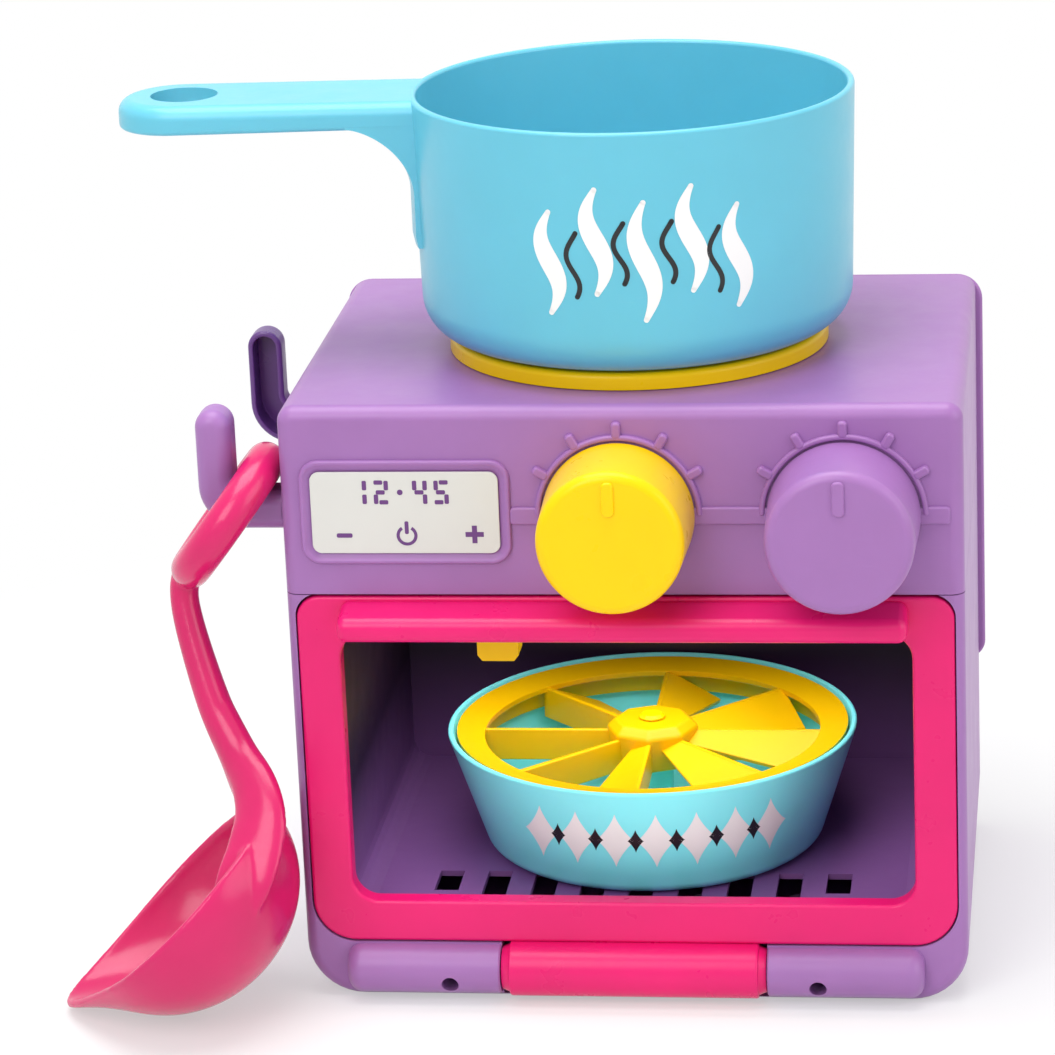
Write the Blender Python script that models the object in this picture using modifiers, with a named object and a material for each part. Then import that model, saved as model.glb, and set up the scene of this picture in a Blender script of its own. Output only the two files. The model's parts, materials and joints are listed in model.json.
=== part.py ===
# Bath toy kitchen: a hollow moulded cabinet with a hob, an oven with a drop-down door,
# two dials, an air pump worked by a rack and pinion, a spinning cake tin, a pan and a ladle.
# Units are metres, +Z is up, -Y is the front, and the origin is the centre of the base.

import math

import bmesh
import bpy
from mathutils import Matrix, Vector

# Cabinet shell
CABINET_WIDTH = 0.200
CABINET_DEPTH = 0.147
SHELL_WALL = 0.0024
FOOT_CORNER_RADIUS = 0.017
TOP_CORNER_RADIUS = 0.005
FACE_EDGE_RADIUS = 0.0042
FACE_EDGE_STEPS = 2
SEAM_HEIGHT = 0.129
FRONT_FRAME_DEPTH = 0.0125
FIT_GAP = 0.0003
RUNNING_GAP = 0.0004
CUT_MARGIN = 0.010
ROOT_DEPTH = 0.001

# Oven door
DOOR_SIDE_MARGIN = 0.003
DOOR_HEAD_GAP = 0.0007
DOOR_THICKNESS = 0.007
DOOR_CORNER_RADIUS = 0.013
DOOR_EDGE_RADIUS = 0.0012
DOOR_STILE_WIDTH = 0.0125
DOOR_SILL_RAIL = 0.0129
DOOR_HEAD_RAIL = 0.0118
WINDOW_CORNER_RADIUS = 0.0075
HANDLE_END_INSET = 0.001
HANDLE_REACH = 0.0115
HANDLE_TOP_DROP = 0.0028
HANDLE_FOOT_RISE = 0.0009
HANDLE_SLOPE_DROP = 0.0022
HANDLE_EDGE_RADIUS = 0.0028
HINGE_HEIGHT = 0.010
HINGE_SETBACK = 0.0005
BARREL_RADIUS = 0.0085
BARREL_HALF_LENGTH = 0.040
BOSS_RADIUS = 0.0078
BOSS_BARREL_GAP = 0.0026
BOSS_SIDE_INSET = 0.013
BOSS_END_RADIUS = 0.0045
WEB_INSET_SHARE = 1.3
DOOR_LIFT = 0.0006
PIVOT_CONE_RADIUS = 0.0065
PIVOT_RADIUS = 0.003
PIVOT_DEPTH = 0.005
BOSS_SCREW_INSET = 0.0128
BOSS_SCREW_DROP = 0.003
BOSS_SCREW_WELL = 0.0026
BOSS_SCREW_SEAT = 0.004

# Oven
OVEN_MOUTH_SIDE_GAP = 0.002
OVEN_MOUTH_HEAD_GAP = 0.003
OVEN_FLOOR_HEIGHT = 0.025
OVEN_CORNER_RADIUS = 0.006
LINER_WALL = 0.0018
FLOOR_SLOT_COUNT = 9
FLOOR_SLOT_PITCH = 0.015
FLOOR_SLOT_WIDTH = 0.0075
FLOOR_SLOT_LENGTH = 0.027
FLOOR_SLOT_START = 0.0015
LEG_SIZE = 0.010
PLATE_THICKNESS = 0.0022
SHOWER_RIM_HEIGHT = 0.0035
SHOWER_RIM_RADIUS = 0.042
DRIP_HOLE_RADIUS = 0.0014
DRIP_RING_SHARES = ((0.30, 6), (0.64, 10))
DRAIN_HOLE_COUNT = 4
DRAIN_HOLE_RADIUS = 0.004
DRAIN_HOLE_PITCH = 0.030

# Fascia
BEZEL_SIDE_MARGIN = 0.006
BEZEL_DIAL_GAP = 0.0033
BEZEL_HEIGHT = 0.0317
BEZEL_RISE = 0.00115
BEZEL_CORNER_RADIUS = 0.006
BEZEL_RIM = 0.0031
BEZEL_PROUD = 0.0015
LABEL_THICKNESS = 0.0008
DIAL_SIDE_MARGIN = 0.0021
TICK_HEAD_MARGIN = 0.0003
DIAL_RING_RADIUS = 0.0243
DIAL_RING_WIDTH = 0.0015
DIAL_RING_PROUD = 0.0011
TICK_COUNT = 7
TICK_CENTRE_RADIUS = 0.0260
TICK_LENGTH = 0.0046
TICK_WIDTH = 0.0024
CREASE_DROP = 0.0009
CREASE_DEPTH = 0.0009
CREASE_HEIGHT = 0.014
CREASE_END_MARGIN = 0.004
CREASE_START_GAP = 0.0008

# Dials
KNOB_BASE_RADIUS = 0.0225
KNOB_FACE_RADIUS = 0.0215
KNOB_LENGTH = 0.0275
KNOB_EDGE_RADIUS = 0.0030
KNOB_WALL = 0.0022
KNOB_STANDOFF = 0.0008
KNOB_SEAM_GAP = 0.002
KNOB_HUB_RADIUS = 0.0062
KNOB_MARK_WIDTH = 0.0026
KNOB_MARK_LENGTH = 0.0095
KNOB_MARK_PROUD = 0.0005
KNOB_MARK_INSET = 0.0025
KNOB_SOCKET_DEPTH = 0.012
SHAFT_RADIUS = 0.0035
SHAFT_BUSH_WALL = 0.0026
SHAFT_BUSH_LENGTH = 0.0145

# Air pump: rack and pinion, piston and cylinder
PINION_TEETH = 12
CYLINDER_SIDE_ROOM = 0.0058
PINION_THICKNESS = 0.0070
TOOTH_TIP_SHARE = 0.62
TOOTH_ROOT_SHARE = 1.2
TOOTH_WIDTH_SHARE = 0.70
PRESSURE_ANGLE = math.radians(20)
PUMP_SWING = math.radians(90)
RACK_TOOTH_MARGIN = 0.007
RACK_BODY_HEIGHT = 0.0055
RACK_WIDTH = 0.0070
GUIDE_WALL = 0.0020
GUIDE_SIDE_HEIGHT = 0.0050
PISTON_ROD_RADIUS = 0.0024
PISTON_RADIUS = 0.0066
PISTON_LENGTH = 0.0060
PISTON_GROOVE_DEPTH = 0.0014
PISTON_GROOVE_WIDTH = 0.0022
CYLINDER_BORE_RADIUS = 0.0072
CYLINDER_WALL = 0.0016
CYLINDER_END_GAP = 0.0006
CYLINDER_CAP_WALL = 0.0016
CYLINDER_CAP_SKIRT = 0.005
NIPPLE_RADIUS = 0.0024
NIPPLE_HEIGHT = 0.0055
NIPPLE_SETBACK = 0.008
HOSE_RADIUS = 0.0028
HOSE_BEND_CONTROL = 0.014
BEARING_WALL = 0.0022
BEARING_HALF_WIDTH = 0.0085
SADDLE_LENGTH = 0.007
SADDLE_HALF_WIDTH = 0.0105
RATCHET_TEETH = 12
RATCHET_RADIUS = 0.012
RATCHET_TOOTH_DEPTH = 0.0016
RATCHET_THICKNESS = 0.0055
CLICK_SPRING_THICKNESS = 0.0006
CLICK_SPRING_LENGTH = 0.022
CLICK_POST_SIZE = 0.006
CLICK_POST_GAP = 0.0008
HEAD_RAIL_WALL = 0.0024
SPOUT_HEIGHT = 0.0192
SPOUT_TOP_HALF_WIDTH = 0.0062
SPOUT_FOOT_HALF_WIDTH = 0.0048
SPOUT_DEPTH = 0.009
SPOUT_BORE_RADIUS = 0.0022
SPOUT_CENTRE_X = -0.0395
SPOUT_SETBACK = 0.003
SPOUT_FLANGE = 0.0018

# Hob and sump
HOB_RING_RADIUS = 0.0575
HOB_RING_WIDTH = 0.010
HOB_RING_HEIGHT = 0.0049
HOB_HOLE_RADIUS = 0.050
HOB_SKIRT_WALL = 0.0018
HOB_SKIRT_DEPTH = 0.005
HOB_LEDGE_WIDTH = 0.003
HOB_PLATE_THICKNESS = 0.0018
HOB_HOLE_SIZE = 0.0024
HOB_MIDDLE_HOLE_RADIUS = 0.0075
HOB_HOLE_RING_SHARES = ((0.27, 6), (0.53, 8), (0.79, 10))
HOB_EDGE_RADIUS = 0.0018
SUMP_DEPTH = 0.0125
SUMP_WALL = 0.0018
SUMP_FLANGE = 0.003
SUMP_CORNER_RADIUS = 0.005
SUMP_DRAIN_RADIUS = 0.012
NOZZLE_RADIUS = 0.0036
NOZZLE_LENGTH = 0.006
NOZZLE_ANGLE = math.radians(190)

# Rear cover and suction cups
REAR_THICKNESS = 0.0024
REAR_FLANGE_OVERHANG = 0.0022
REAR_FLANGE_DROP = 0.029
REAR_FLANGE_THICKNESS = 0.0024
REAR_RIB_HEIGHT = 0.0016
REAR_RIB_PITCH = 0.024
REAR_RIB_COUNT = 5
REAR_RIB_START_SHARE = 0.60
REAR_RIB_WIDTH = 0.002
REAR_RIB_CUP_GAP = 0.001
POST_RADIUS = 0.0042
POST_LENGTH = 0.022
POST_INSET = 0.0062
PILOT_RADIUS = 0.0014
SCREW_SHANK_RADIUS = 0.0011
SCREW_HEAD_RADIUS = 0.0022
SCREW_HEAD_HEIGHT = 0.0015
SCREW_LENGTH = 0.010
SCREW_CROWN_SHARE = 0.7
REAR_POST_LOW = 0.015
REAR_POST_TOP_INSET = 0.0143
CUP_RADIUS = 0.020
CUP_DEPTH = 0.0085
CUP_WALL = 0.0014
CUP_NECK_RADIUS = 0.0048
CUP_NECK_LENGTH = 0.0022
CUP_BUTTON_RADIUS = 0.0068
CUP_BUTTON_HEIGHT = 0.0030
CUP_OUTER_SHARES = ((0.62, 0.40), (0.90, 0.78))
CUP_INNER_SHARE = (0.60, 0.40)
CUP_SIDE_INSET = 0.035
CUP_TOP_INSET = 0.0363
CUP_SPACING_Z = 0.064

# Ladle hooks
HOOK_REACH = 0.026
HOOK_PEG_WIDTH = 0.0107
HOOK_DEPTH = 0.011
HOOK_TOP_DROP = 0.0033
HOOK_PEG_HEIGHT = 0.0245
HOOK_ARM_HEIGHT = 0.012
HOOK_TONGUE = 0.008
HOOK_TONGUE_INSET = 0.003
HOOK_WALL = 0.0017
HOOK_ELBOW_RADIUS = 0.013
HOOK_SLOT_RADIUS = 0.004
HOOK_EDGE_RADIUS = 0.0042
FRONT_HOOK_SETBACK = 0.012
HOOK_SPACING = 0.090

# Saucepan
PAN_RIM_RADIUS = 0.0667
PAN_BASE_RADIUS = 0.0652
PAN_HEIGHT = 0.0735
PAN_WALL = 0.0022
PAN_CORNER_RADIUS = 0.012
PAN_HANDLE_WIDTH = 0.038
PAN_HANDLE_HOLE_X = -0.1350
PAN_HANDLE_TILT = math.radians(2.5)
PAN_HANDLE_END_RADIUS = 0.0200
PAN_HANDLE_HOLE_RADIUS = 0.0102
PAN_HANDLE_THICKNESS = 0.0088
PAN_HANDLE_DROP = 0.0006
PAN_HANDLE_WALL = 0.0022
PAN_GUSSET_REACH = 0.018
PAN_GUSSET_DEPTH = 0.019
PAN_GUSSET_TAIL = 0.015
PAN_GUSSET_TAIL_WALL = 0.0014
PAN_GUSSET_WIDTH = 0.026

# Cake tin and spinner
TIN_RIM_RADIUS = 0.0640
TIN_FOOT_RADIUS = 0.0535
TIN_HEIGHT = 0.0372
TIN_WALL = 0.0018
TIN_FOOT_CORNER = 0.005
TIN_LIFT = 0.0004
AXLE_RADIUS = 0.0028
AXLE_BOSS_RADIUS = 0.0062
SPINNER_CLEARANCE = 0.0007
SPINNER_RIM_WIDTH = 0.0088
SPINNER_RIM_SLOPE = 0.0022
SPINNER_RIM_WALL = 0.0018
SPINNER_SKIRT = 0.010
SPINNER_DROP = 0.0006
SPINNER_HUB_RADIUS = 0.0145
SPINNER_HUB_HEIGHT = 0.0125
SPINNER_HUB_DOME = 0.0014
SPINNER_HUB_FOOT_SHARE = 0.90
SPINNER_DOME_SHARE = 0.80
SPINNER_VANES = 8
VANE_WALL = 0.0016
VANE_ANGLE = math.radians(24)
VANE_HEIGHT = 0.0105
VANE_GAP_SHARE = 0.30
VANE_END_TURN_SHARE = 0.60
VANE_ROOT_SHARE = 0.75
SPINNER_CAP_RADIUS = 0.0042
SPINNER_CAP_HEIGHT = 0.0012
SPINNER_CAP_CROWN_SHARE = 0.75

# Ladle
LADLE_TUBE_RADIUS = 0.0059
LADLE_RING_RADIUS = 0.0195
LADLE_REST_GAP = 0.0011
LADLE_RING_SLANT = math.radians(53)
LADLE_NECK_RADIUS = 0.0036
LADLE_UPPER_RADIUS = 0.0047
LADLE_SHANK_RADIUS = 0.0052
LADLE_LOWER_RADIUS = 0.0056
LADLE_HEEL_RADIUS = 0.0062
LADLE_TAIL_RADIUS = 0.0040
LADLE_BOWL_LENGTH = 0.0388
LADLE_BOWL_WIDTH = 0.0322
LADLE_BOWL_DEPTH = 0.0349
LADLE_BOWL_WALL = 0.0022
LADLE_SPOUT = 0.0123
LADLE_SPOUT_POWER = 8
LADLE_SPOUT_FADE_POWER = 3
LADLE_BOWL_PITCH = math.radians(45.6)
LADLE_BOWL_LEAN = math.radians(1.9)
LADLE_BOWL_TURN = math.radians(1)
LADLE_NECK = (-0.0263, -0.0008, -0.0385)
LADLE_UPPER_BEND = (-0.0246, -0.0042, -0.0495)
LADLE_WAIST = (-0.0174, -0.0115, -0.0706)
LADLE_LOWER_BEND = (-0.0103, -0.0165, -0.0854)
LADLE_HEEL = (-0.0036, -0.0230, -0.0962)
LADLE_TAIL = (0.0018, -0.0245, -0.1038)
LADLE_BOWL_CENTRE = (-0.0294, -0.0245, -0.1269)

# Facets
ROUND_STEPS = 28
SMALL_STEPS = 12
LADLE_STEPS = 16
ARC_STEPS = 4
SWEEP_STEPS = 8
FLANK_STEPS = 2
CORNER_STEPS = 3
HOLE_STEPS = 6
WELD_DISTANCE = 0.000001
TURN_WELD_DISTANCE = 0.00001

FRONT = -CABINET_DEPTH / 2
REAR = CABINET_DEPTH / 2
HALF_WIDTH = CABINET_WIDTH / 2
DIAL_HEIGHT = SEAM_HEIGHT + KNOB_BASE_RADIUS + KNOB_SEAM_GAP
TICK_REACH = TICK_CENTRE_RADIUS + TICK_LENGTH / 2
TOP = DIAL_HEIGHT + TICK_REACH + FACE_EDGE_RADIUS + TICK_HEAD_MARGIN
DIAL_SPACING = HALF_WIDTH - FACE_EDGE_RADIUS - DIAL_SIDE_MARGIN - TICK_REACH
BEZEL_WIDTH = HALF_WIDTH - BEZEL_SIDE_MARGIN - TICK_REACH - BEZEL_DIAL_GAP
BEZEL_CENTRE_X = BEZEL_SIDE_MARGIN + BEZEL_WIDTH / 2 - HALF_WIDTH
BEZEL_CENTRE_Z = DIAL_HEIGHT + BEZEL_RISE
HINGE_Y = FRONT + HINGE_SETBACK
DOOR_FOOT = HINGE_HEIGHT + BOSS_RADIUS + DOOR_LIFT
DOOR_HEAD = SEAM_HEIGHT - DOOR_HEAD_GAP
DOOR_HALF_WIDTH = HALF_WIDTH - DOOR_SIDE_MARGIN
WINDOW_HALF_WIDTH = DOOR_HALF_WIDTH - DOOR_STILE_WIDTH
WINDOW_SILL_HEIGHT = DOOR_FOOT + DOOR_SILL_RAIL
WINDOW_HEAD_HEIGHT = DOOR_HEAD - DOOR_HEAD_RAIL
HANDLE_HALF_WIDTH = WINDOW_HALF_WIDTH - HANDLE_END_INSET
HANDLE_TOP_HEIGHT = DOOR_HEAD - HANDLE_TOP_DROP
HANDLE_FOOT_HEIGHT = WINDOW_HEAD_HEIGHT + HANDLE_FOOT_RISE
BOSS_START = BARREL_HALF_LENGTH + BOSS_BARREL_GAP
BOSS_END = HALF_WIDTH - BOSS_SIDE_INSET
BOSS_SCREW_X = BOSS_START + BOSS_SCREW_INSET
OVEN_HEAD_HEIGHT = WINDOW_HEAD_HEIGHT + OVEN_MOUTH_HEAD_GAP
INNER_FRONT = FRONT + FRONT_FRAME_DEPTH
SPOUT_CENTRE_Y = INNER_FRONT + SPOUT_SETBACK + SPOUT_DEPTH / 2
COVER_FACE = REAR - REAR_THICKNESS
LINER_REAR = COVER_FACE - CUP_BUTTON_HEIGHT - 2 * FIT_GAP
LINER_FRONT = INNER_FRONT + FIT_GAP
OVEN_HALF_WIDTH = WINDOW_HALF_WIDTH + OVEN_MOUTH_SIDE_GAP
PLATE_FOOT = OVEN_HEAD_HEIGHT + FIT_GAP
PLATE_TOP = PLATE_FOOT + PLATE_THICKNESS
# The rack, its travel and the cylinder's length of two travels share the room beside the dial.
PUMP_ROOM = HALF_WIDTH - SHELL_WALL - CYLINDER_SIDE_ROOM - CYLINDER_CAP_WALL
RACK_TRAVEL = (PUMP_ROOM - RACK_TOOTH_MARGIN - PISTON_LENGTH - 3 * CYLINDER_END_GAP) / 4
PITCH_RADIUS = RACK_TRAVEL / PUMP_SWING
GEAR_MODULE = 2 * PITCH_RADIUS / PINION_TEETH
TOOTH_TIP = TOOTH_TIP_SHARE * GEAR_MODULE
TOOTH_ROOT = TOOTH_ROOT_SHARE * GEAR_MODULE
GEAR_FRONT = FRONT + SHELL_WALL + SHAFT_BUSH_LENGTH + RUNNING_GAP
GEAR_MID = GEAR_FRONT + PINION_THICKNESS / 2
GEAR_BACK = GEAR_FRONT + PINION_THICKNESS
RACK_PITCH_HEIGHT = DIAL_HEIGHT - PITCH_RADIUS
RACK_ROOT_HEIGHT = RACK_PITCH_HEIGHT - TOOTH_ROOT
RACK_FOOT = RACK_ROOT_HEIGHT - RACK_BODY_HEIGHT
RACK_HALF_LENGTH = RACK_TRAVEL + RACK_TOOTH_MARGIN
ROD_HEIGHT = RACK_FOOT + RACK_BODY_HEIGHT / 2
CYLINDER_LENGTH = 2 * RACK_TRAVEL + PISTON_LENGTH + 2 * CYLINDER_END_GAP
CYLINDER_MOUTH_X = -(RACK_HALF_LENGTH + RACK_TRAVEL + CYLINDER_END_GAP)
PISTON_CENTRE_X = CYLINDER_MOUTH_X - CYLINDER_LENGTH / 2
CYLINDER_END_X = CYLINDER_MOUTH_X - CYLINDER_LENGTH
GUIDE_FOOT = RACK_FOOT - RUNNING_GAP
REAR_FLANGE_HALF_WIDTH = HALF_WIDTH + REAR_FLANGE_OVERHANG
REAR_POST_HIGH = TOP - REAR_POST_TOP_INSET
CUP_SPACING_X = 2 * (HALF_WIDTH - CUP_SIDE_INSET)
CUP_HIGH_HEIGHT = TOP - CUP_TOP_INSET
CUP_LOW_HEIGHT = CUP_HIGH_HEIGHT - CUP_SPACING_Z
REAR_FLANGE_FOOT = CUP_LOW_HEIGHT - REAR_FLANGE_DROP
HOOK_TOP_HEIGHT = TOP - HOOK_TOP_DROP
HOOK_ARM_TOP = HOOK_TOP_HEIGHT - HOOK_PEG_HEIGHT
HOOK_ARM_FOOT = HOOK_ARM_TOP - HOOK_ARM_HEIGHT
SUMP_TOP = TOP - SHELL_WALL - FIT_GAP
HOB_TOP = TOP + FIT_GAP + HOB_RING_HEIGHT
PAN_FOOT = HOB_TOP + FIT_GAP
TIN_FOOT = OVEN_FLOOR_HEIGHT + TIN_LIFT
SPINNER_TOP = TIN_FOOT + TIN_HEIGHT - SPINNER_DROP
LADLE_ORIGIN = Vector((
    -HALF_WIDTH - FIT_GAP - LADLE_TUBE_RADIUS,
    FRONT + FRONT_HOOK_SETBACK,
    HOOK_ARM_TOP + LADLE_TUBE_RADIUS + LADLE_REST_GAP,
))
AXIS_X = Matrix.Rotation(math.radians(90), 4, "Y")
AXIS_Y = Matrix.Rotation(math.radians(-90), 4, "X")
FACING_FRONT = Matrix.Rotation(math.radians(90), 4, "X")
FACING_SIDE = Matrix.Rotation(math.radians(90), 4, "Z") @ FACING_FRONT


def clear_scene():
    for obj in list(bpy.data.objects):
        bpy.data.objects.remove(obj, do_unlink=True)


def new_collection(name):
    collection = bpy.data.collections.new(name)
    bpy.context.scene.collection.children.link(collection)
    return collection


clear_scene()
PARTS = new_collection("bath_toy_kitchen")
CUTTERS = new_collection("cutters")


def plastic(name, colour, roughness=0.35, metallic=0.0):
    material = bpy.data.materials.new(name)
    material.use_nodes = True
    shader = material.node_tree.nodes["Principled BSDF"]
    shader.inputs["Base Color"].default_value = (*colour, 1.0)
    shader.inputs["Roughness"].default_value = roughness
    shader.inputs["Metallic"].default_value = metallic
    return material


PURPLE = plastic("purple_plastic", (0.327, 0.156, 0.427), 0.34)
DARK_PURPLE = plastic("dark_purple_plastic", (0.180, 0.080, 0.270), 0.45)
PINK = plastic("pink_plastic", (0.807, 0.036, 0.188), 0.30)
YELLOW = plastic("yellow_plastic", (0.956, 0.730, 0.002), 0.30)
BLUE = plastic("light_blue_plastic", (0.115, 0.546, 0.680), 0.32)
WHITE = plastic("white_acetal", (0.800, 0.800, 0.780), 0.40)
LABEL = plastic("label_card", (0.760, 0.765, 0.700), 0.50)
RUBBER = plastic("clear_soft_pvc", (0.700, 0.740, 0.760), 0.25)
STEEL = plastic("zinc_plated_steel", (0.600, 0.600, 0.620), 0.30, 1.0)


def add_object(name, mesh, at=Matrix.Identity(4)):
    obj = bpy.data.objects.new(name, mesh)
    obj.matrix_world = at
    PARTS.objects.link(obj)
    return obj


def mesh_object(name, bm, at=Matrix.Identity(4)):
    mesh = bpy.data.meshes.new(name)
    bm.to_mesh(mesh)
    bm.free()
    return add_object(name, mesh, at)


def finish(obj, material, smooth_angle=35):
    # Gives the object its material and smooth shading, with crisp edges kept.
    obj.data.materials.clear()
    obj.data.materials.append(material)
    obj.data.shade_smooth()
    obj.data.set_sharp_from_angle(angle=math.radians(smooth_angle))
    return obj


def as_cutter(obj):
    PARTS.objects.unlink(obj)
    CUTTERS.objects.link(obj)
    obj.hide_render = True
    obj.display_type = "WIRE"
    return obj


def combine(target, other, operation):
    modifier = target.modifiers.new(other.name, "BOOLEAN")
    modifier.operation = operation
    modifier.solver = "EXACT"
    modifier.object = as_cutter(other)
    return target


def cut(target, *others):
    for other in others:
        combine(target, other, "DIFFERENCE")
    return target


def join(target, *others):
    for other in others:
        combine(target, other, "UNION")
    return target


def bevel(obj, width, steps=2, angle=40):
    modifier = obj.modifiers.new("rounded_edges", "BEVEL")
    modifier.width = width
    modifier.segments = steps
    modifier.limit_method = "ANGLE"
    modifier.angle_limit = math.radians(angle)
    return obj


def baked(obj):
    # Replaces the object's mesh by the result of its modifiers.
    bpy.context.view_layer.update()
    graph = bpy.context.evaluated_depsgraph_get()
    mesh = bpy.data.meshes.new_from_object(obj.evaluated_get(graph))
    obj.modifiers.clear()
    obj.data = mesh
    return obj


def block(name, low, high):
    low = Vector(low)
    high = Vector(high)
    bm = bmesh.new()
    bmesh.ops.create_cube(bm, size=1.0)
    bmesh.ops.scale(bm, vec=high - low, verts=bm.verts)
    bmesh.ops.translate(bm, vec=(high + low) / 2, verts=bm.verts)
    return mesh_object(name, bm)


def rod(name, radius, start, end, steps=SMALL_STEPS, end_radius=None):
    # A round bar, or a cone when end_radius is given, from one centre point to another.
    start = Vector(start)
    end = Vector(end)
    bm = bmesh.new()
    bmesh.ops.create_cone(
        bm, cap_ends=True, segments=steps, radius1=radius,
        radius2=radius if end_radius is None else end_radius, depth=(end - start).length)
    turn = (end - start).to_track_quat("Z", "Y").to_matrix().to_4x4()
    bmesh.ops.transform(bm, matrix=Matrix.Translation((start + end) / 2) @ turn, verts=bm.verts)
    return mesh_object(name, bm)


def turned(name, profile, at=Matrix.Identity(4), steps=ROUND_STEPS, closed=False):
    # Revolves (radius, height) points about the object's own Z axis.
    mesh = bpy.data.meshes.new(name)
    edges = [(i, i + 1) for i in range(len(profile) - 1)]
    if closed:
        edges.append((len(profile) - 1, 0))
    mesh.from_pydata([(radius, 0, height) for radius, height in profile], edges, [])
    obj = add_object(name, mesh, at)
    screw = obj.modifiers.new("turn", "SCREW")
    screw.steps = steps
    screw.render_steps = steps
    screw.use_merge_vertices = True
    screw.merge_threshold = TURN_WELD_DISTANCE
    screw.use_smooth_shade = True
    return obj


def arc(centre, radius, start, end, steps=ARC_STEPS):
    # Points along an arc in degrees, ends included.
    angles = [math.radians(start + (end - start) * i / steps) for i in range(steps + 1)]
    return [(centre[0] + radius * math.cos(a), centre[1] + radius * math.sin(a)) for a in angles]


def rounded_outline(width, height, foot_radius, head_radius=None, steps=ARC_STEPS):
    # A rectangle with rounded corners, its centre at zero, listed counter-clockwise.
    head_radius = foot_radius if head_radius is None else head_radius
    x = width / 2
    y = height / 2
    return (
        arc((x - head_radius, y - head_radius), head_radius, 0, 90, steps)
        + arc((head_radius - x, y - head_radius), head_radius, 90, 180, steps)
        + arc((foot_radius - x, foot_radius - y), foot_radius, 180, 270, steps)
        + arc((x - foot_radius, foot_radius - y), foot_radius, 270, 360, steps)
    )


def plate(name, outline, thickness, at=Matrix.Identity(4), holes=()):
    # Extrudes a flat outline by half its thickness to each side of its own XY plane.
    curve = bpy.data.curves.new(name, "CURVE")
    curve.dimensions = "2D"
    curve.fill_mode = "BOTH"
    curve.extrude = thickness / 2
    for points in (outline, *holes):
        spline = curve.splines.new("POLY")
        spline.points.add(len(points) - 1)
        for point, (x, y) in zip(spline.points, points):
            point.co = (x, y, 0, 1)
        spline.use_cyclic_u = True
    return curve_mesh(name, curve, at)


def curve_mesh(name, curve, at=Matrix.Identity(4)):
    # Turns a curve into a closed mesh whose caps are welded on.
    source = add_object(name + "_curve", curve, at)
    bpy.context.view_layer.update()
    graph = bpy.context.evaluated_depsgraph_get()
    mesh = bpy.data.meshes.new_from_object(source.evaluated_get(graph))
    bpy.data.objects.remove(source, do_unlink=True)
    bm = bmesh.new()
    bm.from_mesh(mesh)
    bmesh.ops.remove_doubles(bm, verts=bm.verts, dist=WELD_DISTANCE)
    bmesh.ops.recalc_face_normals(bm, faces=bm.faces)
    bm.to_mesh(mesh)
    bm.free()
    return add_object(name, mesh, at)


def smooth_route(points, steps=SWEEP_STEPS):
    # Points of a smooth curve through the given ones.
    route = []
    last = len(points) - 1
    for i in range(last):
        p0 = Vector(points[max(i - 1, 0)])
        p1 = Vector(points[i])
        p2 = Vector(points[i + 1])
        p3 = Vector(points[min(i + 2, last)])
        for k in range(steps):
            t = k / steps
            route.append(0.5 * (
                2 * p1 + (p2 - p0) * t + (2 * p0 - 5 * p1 + 4 * p2 - p3) * t ** 2
                + (3 * p1 - p0 - 3 * p2 + p3) * t ** 3))
    route.append(Vector(points[last]))
    return route


def tube(name, route, radius, sides=2, radii=None):
    # A round bar along a route, with filled ends; radii scale it point by point.
    curve = bpy.data.curves.new(name, "CURVE")
    curve.dimensions = "3D"
    curve.bevel_depth = radius
    curve.bevel_resolution = sides
    curve.use_fill_caps = True
    spline = curve.splines.new("POLY")
    spline.points.add(len(route) - 1)
    for i, (point, place) in enumerate(zip(spline.points, route)):
        point.co = (*place, 1)
        point.radius = radii[i] if radii else 1
    return curve_mesh(name, curve)


def placed(x, y, z, turn=Matrix.Identity(4)):
    return Matrix.Translation((x, y, z)) @ turn


def set_origin(obj, x, y, z):
    # Moves the object's origin to a world point without moving its shape.
    here = obj.matrix_world.copy()
    there = Matrix.Translation((x, y, z))
    obj.data.transform(there.inverted() @ here)
    obj.matrix_world = there
    return obj


def cabinet_block(name, inset, front, rear, edge=0.0):
    # The cabinet's rounded section, drawn in by an inset, between two depths.
    outline = rounded_outline(
        CABINET_WIDTH - 2 * inset, TOP - 2 * inset,
        max(FOOT_CORNER_RADIUS - inset, SHELL_WALL), max(TOP_CORNER_RADIUS - inset, SHELL_WALL / 2))
    obj = plate(
        name, outline, rear - front,
        placed(0, (front + rear) / 2, TOP / 2, FACING_FRONT))
    if edge:
        bevel(obj, edge, FACE_EDGE_STEPS)
    return obj


def post_x(side):
    return side * (HALF_WIDTH - SHELL_WALL - POST_INSET + ROOT_DEPTH)


def corner_post(name, side, height):
    # A screw post in a rear corner, rooted in the side wall.
    x = post_x(side)
    start = COVER_FACE - POST_LENGTH
    post = rod(name, POST_RADIUS, (x, start, height), (x, COVER_FACE - FIT_GAP, height))
    wall = side * (HALF_WIDTH - SHELL_WALL / 2)
    web = block(
        name + "_web",
        (min(x, wall), start, height - SHELL_WALL / 2),
        (max(x, wall), COVER_FACE - FIT_GAP, height + SHELL_WALL / 2))
    return post, web


def pilot_hole(name, side, height):
    x = post_x(side)
    return rod(name, PILOT_RADIUS, (x, COVER_FACE - SCREW_LENGTH - FIT_GAP, height),
               (x, COVER_FACE + CUT_MARGIN, height), HOLE_STEPS)


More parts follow.
